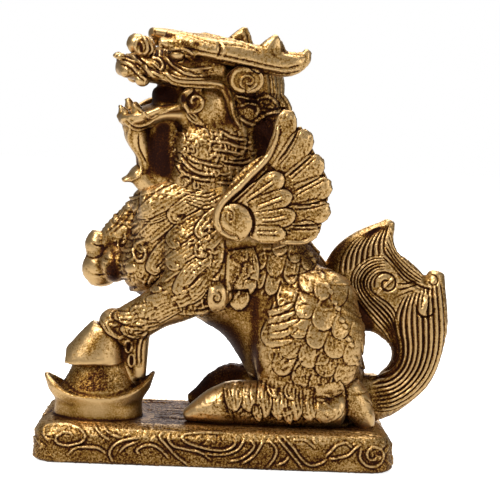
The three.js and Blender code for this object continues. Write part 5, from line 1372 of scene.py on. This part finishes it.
# One mesh of the casting: the clay's surface, the relief, and the marks that the brass reads
def castPiece(name, clay, most, views, shadeAndStainPools=()):
    points, triangles, quads = surfaceOf(clay)
    piece = meshObject(name, points, quads, triangles)
    dense = len(quads)
    raiseRelief(piece, views)
    lighten(piece, most)
    markPatina(piece, views, shadeAndStainPools)
    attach(piece, "root")
    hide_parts("qilin_statue")
    report(f"{name}: {dense} quads, {len(piece.data.polygons)} triangles kept")
    return piece


def sculptBody():
    clay = newClay((-34, -17, 7.4), (37, 17, 70), body["voxel"])
    shapeTrunk(clay)
    shapeShoulders(clay)
    for side in bothSides:
        shapeHindLeg(clay, side)
    shapeIngotLeg(clay)
    shapeRaisedLeg(clay)
    shapeIngotHoof(clay)
    shapeBackRidge(clay)
    shapeBreastPlates(clay)
    return clay


def sculptHead():
    clay = newClay((-29, -22, 55), (20, 16, 99.6), head["voxel"])
    shapeNeck(clay)
    shapeHead(clay)
    shapeMane(clay)
    return clay


def sculptWing(side):
    low, high = sorted((side * 8.4, side * 20.2))
    clay = newClay((-5, low, 46), (27, high, 83), wing["voxel"])
    shapeWing(clay, side)
    return clay


def sculptTail():
    clay = newClay((24, -7.5, 7.4), (55, 7.5, 58.5), tail["voxel"])
    shapeTail(clay)
    return clay


def sculptBase():
    clay = newClay((-41.5, -19.5, -1.2), (41.5, 19.5, 22.6), base["voxel"])
    top = base["height"]
    roundSlab(clay, base["halfLength"], base["halfWidth"], base["corner"], 0, top,
              lambda z: np.interp(z, [0, 0.9, 6.4, 8, top], [0.6, 0, 0.5, 1.3, 2.9]))
    shapeIngot(clay)
    return clay


def paintSheet(seed, low, high, *paints):
    sheet = newSheet(low, high)
    for paint in paints:
        paint(sheet)
    finishSheet(sheet, seed)
    return sheet


# The sheets, each with its seed and the corners of its view
bodyNear = paintSheet(1, (-36, 6), (38, 76), paintHaunch, paintShoulder, paintIngotLeg,
                      paintRaisedLegFromNear)
bodyFar = paintSheet(2, (-36, 6), (38, 76), paintHaunch, paintShoulder, paintRaisedLeg)
headSheet = paintSheet(3, (-20, -26), (29, 18), paintHead)
ruffSheet = paintSheet(4, (-22, 56), (20, 80), paintRuff)
wingSheet = paintSheet(5, (-6, 46), (27, 84), paintWing)
tailSheet = paintSheet(6, (24, 6), (56, 60), paintTail)
baseSheet = paintSheet(7, (-42, -1), (42, 22), paintBaseSide, paintIngot)
topSheet = paintSheet(8, (-42, -20), (42, 20), paintBaseTop)
backSheet = paintSheet(9, (-18, -26), (18, 60), paintBack)
breastSheet = paintSheet(10, (-18, 8), (18, 70), paintBreast)
crownSheet = paintSheet(11, (-22, 22), (18, 84), paintCrown)
report("relief painted")


# Painted shade, partly stain, that lies thick under and between parts and in pockets: places, half sizes and
# how dark
bodyShadeAndStainPools = [
    ((-24.6, 4, 41.4), (2.4, 6, 3.6), 0.85),  # behind the raised hoof
    ((-4, 1, 24), (12, 6.5, 9), 0.9),  # below the belly
    ((4, 0, 30), (9, 9.5, 12), 0.75),
    ((2, 9, 14), (10, 6, 10), 0.85),  # round the far hind foot
    ((-16, 3, 37), (7, 8, 5), 0.7),  # between the forelegs
]
headShadeAndStainPools = [
    (headPoint(14, 0, -2.4), (5.2, 6.4, 2.8), 1.0),  # in the mouth
    (headPoint(14.8, 0, -15), (3.4, 8, 7.4), 1.0),  # behind the beard
    ((7.8, -3, 73.6), (4.0, 11, 5.8), 1.0),  # before the wing
]

forward, level, crown = head["axes"]
headViews = [layOn(headSheet, forward, crown, m * level, head["middle"]) for m in (1, -1)]
bodyViews = bothFaces(bodyNear, bodyFar) + fromBehind(backSheet)
bodyViews += [layOn(breastSheet, ahead, upright, (-1, 0, 0))]
neckViews = bothFaces(ruffSheet, ruffSheet, added=True) + fromBehind(crownSheet)
baseViews = bothFaces(baseSheet, baseSheet) + bothEnds(baseSheet)
baseViews += [layOn(topSheet, right, ahead, (0, 0, 1))]
brassPieces = [
    castPiece("qilin_body", sculptBody(), body["triangles"], bodyViews, bodyShadeAndStainPools),
    castPiece("qilin_head", sculptHead(), head["triangles"], headViews + neckViews, headShadeAndStainPools),
    castPiece("near_wing", sculptWing(near), wing["triangles"], bothFaces(wingSheet, wingSheet)),
    castPiece("far_wing", sculptWing(far), wing["triangles"], bothFaces(wingSheet, wingSheet)),
    castPiece("qilin_tail", sculptTail(), tail["triangles"], bothFaces(tailSheet, tailSheet)),
    castPiece("cloud_base", sculptBase(), base["triangles"], baseViews),
]


# Sand-cast brass, antiqued: a dark brown stain stays in the hollows and is rubbed back to pale gold where
# fingers and the cloth reach. It gives the eye a soft broad shine on the high spots and dull dark recesses.
# The same dark colours also show the painted shade that the marks lay under and between parts.
brass = {
    "rubbed": "#c8a572", "gold": "#8e692e", "brown": "#4a2508", "stainAndShade": "#250a01",
    "stops": (0.12, 0.42, 0.66, 0.95),  # how stained the brass is at each of these colours
    "roughness": (0.35, 0.3),  # rubbed bright, and what full stain adds
    "metallic": (1.06, 0.2),  # clean metal, held at 1, and what full stain takes off
    "grainSize": 0.36,  # mm between specks, drawn coarser than the sand's true 0.1 to 0.2 mm, to show at all
    "grainDepth": 0.06,  # mm
    "cloudSize": 7.0,  # mm, the patches where the stain is thicker
}


def linearColour(code):
    values = [int(code[k:k + 2], 16) / 255 for k in (1, 3, 5)]
    return (*[v / 12.92 if v <= 0.04045 else ((v + 0.055) / 1.055) ** 2.4 for v in values], 1)


def addNode(material, kind, settings=None, links=None, **values):
    tree = material.node_tree
    node = tree.nodes.new(kind)
    for key, value in values.items():
        setattr(node, key, value)
    for key, value in (settings or {}).items():
        node.inputs[key].default_value = value
    for key, source in (links or {}).items():
        tree.links.new(source, node.inputs[key])
    return node


def colourRamp(node, stops):
    ramp = node.color_ramp
    ramp.elements[0].position, ramp.elements[0].color = stops[0][0], linearColour(stops[0][1])
    ramp.elements[1].position, ramp.elements[1].color = stops[-1][0], linearColour(stops[-1][1])
    for place, code in stops[1:-1]:
        ramp.elements.new(place).color = linearColour(code)


def antiquedBrass():
    material = bpy.data.materials.new("antiqued cast brass")
    material.use_nodes = True
    shader = material.node_tree.nodes["Principled BSDF"]
    place = addNode(material, "ShaderNodeTexCoord").outputs["Object"]
    patinaAndShade, grain, polish = (addNode(material, "ShaderNodeAttribute", attribute_name=name).outputs["Fac"]
                             for name in ("patinaAndShade", "grain", "polish"))
    perMetre = 1 / millimetre
    specks = addNode(material, "ShaderNodeTexNoise", {"Scale": perMetre / brass["grainSize"], "Detail": 2.0,
                     "Roughness": 0.6}, {"Vector": place}).outputs["Fac"]
    clouds = addNode(material, "ShaderNodeTexNoise", {"Scale": perMetre / brass["cloudSize"], "Detail": 4.0},
                     {"Vector": place}).outputs["Fac"]

    def work(operation, first, second, third=0.0, clamp=False):
        settings, links = {}, {}
        for key, value in enumerate((first, second, third)):
            (links if hasattr(value, "is_linked") else settings)[key] = value
        node = addNode(material, "ShaderNodeMath", settings, links, operation=operation, use_clamp=clamp)
        return node.outputs[0]

    speckShare = work("MULTIPLY_ADD", work("SUBTRACT", grain, polish), 0.7, 0.95)
    speckled = work("MULTIPLY", work("SUBTRACT", specks, 0.5), speckShare)
    clouded = work("MULTIPLY", work("SUBTRACT", clouds, 0.5), 0.5)
    rubbed = work("MULTIPLY", polish, -0.12)
    # the stain here also carries the painted shade from the marks and the pools
    stainAndShade = work("ADD", work("ADD", patinaAndShade, speckled), work("ADD", clouded, rubbed), clamp=True)
    tint = addNode(material, "ShaderNodeValToRGB", links={"Fac": stainAndShade})
    colourRamp(tint, list(zip(brass["stops"], (brass[key] for key in ("rubbed", "gold", "brown", "stainAndShade")))))
    metal = work("SUBTRACT", brass["metallic"][0], work("MULTIPLY", stainAndShade, brass["metallic"][1]), clamp=True)
    rough = work("MULTIPLY_ADD", stainAndShade, brass["roughness"][1], brass["roughness"][0])
    bumpHeight = work("MULTIPLY", specks, work("MULTIPLY_ADD", grain, 0.7, 0.3))
    bump = addNode(material, "ShaderNodeBump",
                   {"Strength": 0.8, "Distance": brass["grainDepth"] * millimetre}, {"Height": bumpHeight})
    tree = material.node_tree
    tree.links.new(tint.outputs["Color"], shader.inputs["Base Color"])
    tree.links.new(metal, shader.inputs["Metallic"])
    tree.links.new(rough, shader.inputs["Roughness"])
    tree.links.new(bump.outputs["Normal"], shader.inputs["Normal"])
    return material


castBrass = antiquedBrass()
for piece in brassPieces:
    piece.data.materials.append(castBrass)
report("finish")


# The photograph's view: a long lens, slightly above the statue and almost square to its side
cameraLook = {"place": (-4.4, -308.7, 73.2), "yaw": -2.05, "pitch": 4.8, "roll": 2.57, "lens": 96.84}


def placeCamera():
    yaw, pitch, roll = (math.radians(cameraLook[k]) for k in ("yaw", "pitch", "roll"))
    forward = Vector((-math.sin(yaw) * math.cos(pitch), math.cos(yaw) * math.cos(pitch), -math.sin(pitch)))
    right = Vector((math.cos(yaw), math.sin(yaw), 0))
    up = right.cross(forward)
    right, up = math.cos(roll) * right + math.sin(roll) * up, math.cos(roll) * up - math.sin(roll) * right
    camera = bpy.data.objects.new("camera", bpy.data.cameras.new("camera"))
    bpy.context.scene.collection.objects.link(camera)
    camera.data.lens = cameraLook["lens"]
    camera.data.sensor_width = 36
    camera.data.clip_start = 0.01
    place = Vector(cameraLook["place"]) * millimetre
    camera.matrix_world = Matrix.Translation(place) @ Matrix((right, up, -forward)).transposed().to_4x4()
    bpy.context.scene.camera = camera


placeCamera()


lightTarget = (0, 0, 0.05)
lights = {  # name: place and size in metres, and power in watts
    "key": ((-0.28, -0.40, 0.50), (0.26, 0.26), 3.6),
    "fill": ((0.50, -0.45, 0.22), (0.30, 0.30), 1.0),
    "top": ((0.0, 0.10, 0.60), (0.45, 0.35), 2.8),
    "back": ((0.10, 0.60, 0.30), (0.40, 0.30), 1.4),
}


def areaLight(name, place, size, power):
    data = bpy.data.lights.new(name, "AREA")
    data.shape = "RECTANGLE"
    data.size, data.size_y = size
    data.energy = power
    light = bpy.data.objects.new(name, data)
    bpy.context.scene.collection.objects.link(light)
    light.location = place
    aim = Vector(lightTarget) - Vector(place)
    light.rotation_euler = aim.to_track_quat("-Z", "Y").to_euler()


for name, (place, size, power) in lights.items():
    areaLight(name, place, size, power)

floorMesh = bpy.data.meshes.new("floor")
span = 3.0  # metres to each side
corners = [(-span, -span, 0), (span, -span, 0), (span, span, 0), (-span, span, 0)]
floorMesh.from_pydata(corners, [], [(0, 1, 2, 3)])
floor = bpy.data.objects.new("floor", floorMesh)
bpy.context.scene.collection.objects.link(floor)
paper = bpy.data.materials.new("matt white paper")
paper.use_nodes = True
paperShader = paper.node_tree.nodes["Principled BSDF"]
paperShader.inputs["Base Color"].default_value = (0.86, 0.86, 0.85, 1)
paperShader.inputs["Roughness"].default_value = 0.9
paperShader.inputs["Emission Color"].default_value = (1, 1, 1, 1)
floorMesh.materials.append(paper)

world = bpy.data.worlds.new("studio")
bpy.context.scene.world = world
world.use_nodes = True
surroundings = world.node_tree.nodes["Background"]
surroundings.inputs["Color"].default_value = (1, 1, 1, 1)


# The white that shows round the statue is brighter than the light that falls on it
def shownBrighter(tree, socket, lighting, shown):
    lookedAt = tree.nodes.new("ShaderNodeLightPath").outputs["Is Camera Ray"]
    strength = tree.nodes.new("ShaderNodeMapRange")
    strength.inputs["To Min"].default_value = lighting
    strength.inputs["To Max"].default_value = shown
    tree.links.new(lookedAt, strength.inputs["Value"])
    tree.links.new(strength.outputs["Result"], socket)


shownBrighter(world.node_tree, surroundings.inputs["Strength"], 0.21, 1.0)
shownBrighter(paper.node_tree, paperShader.inputs["Emission Strength"], 0.0, 0.84)
bpy.context.scene.view_settings.view_transform = "Standard"
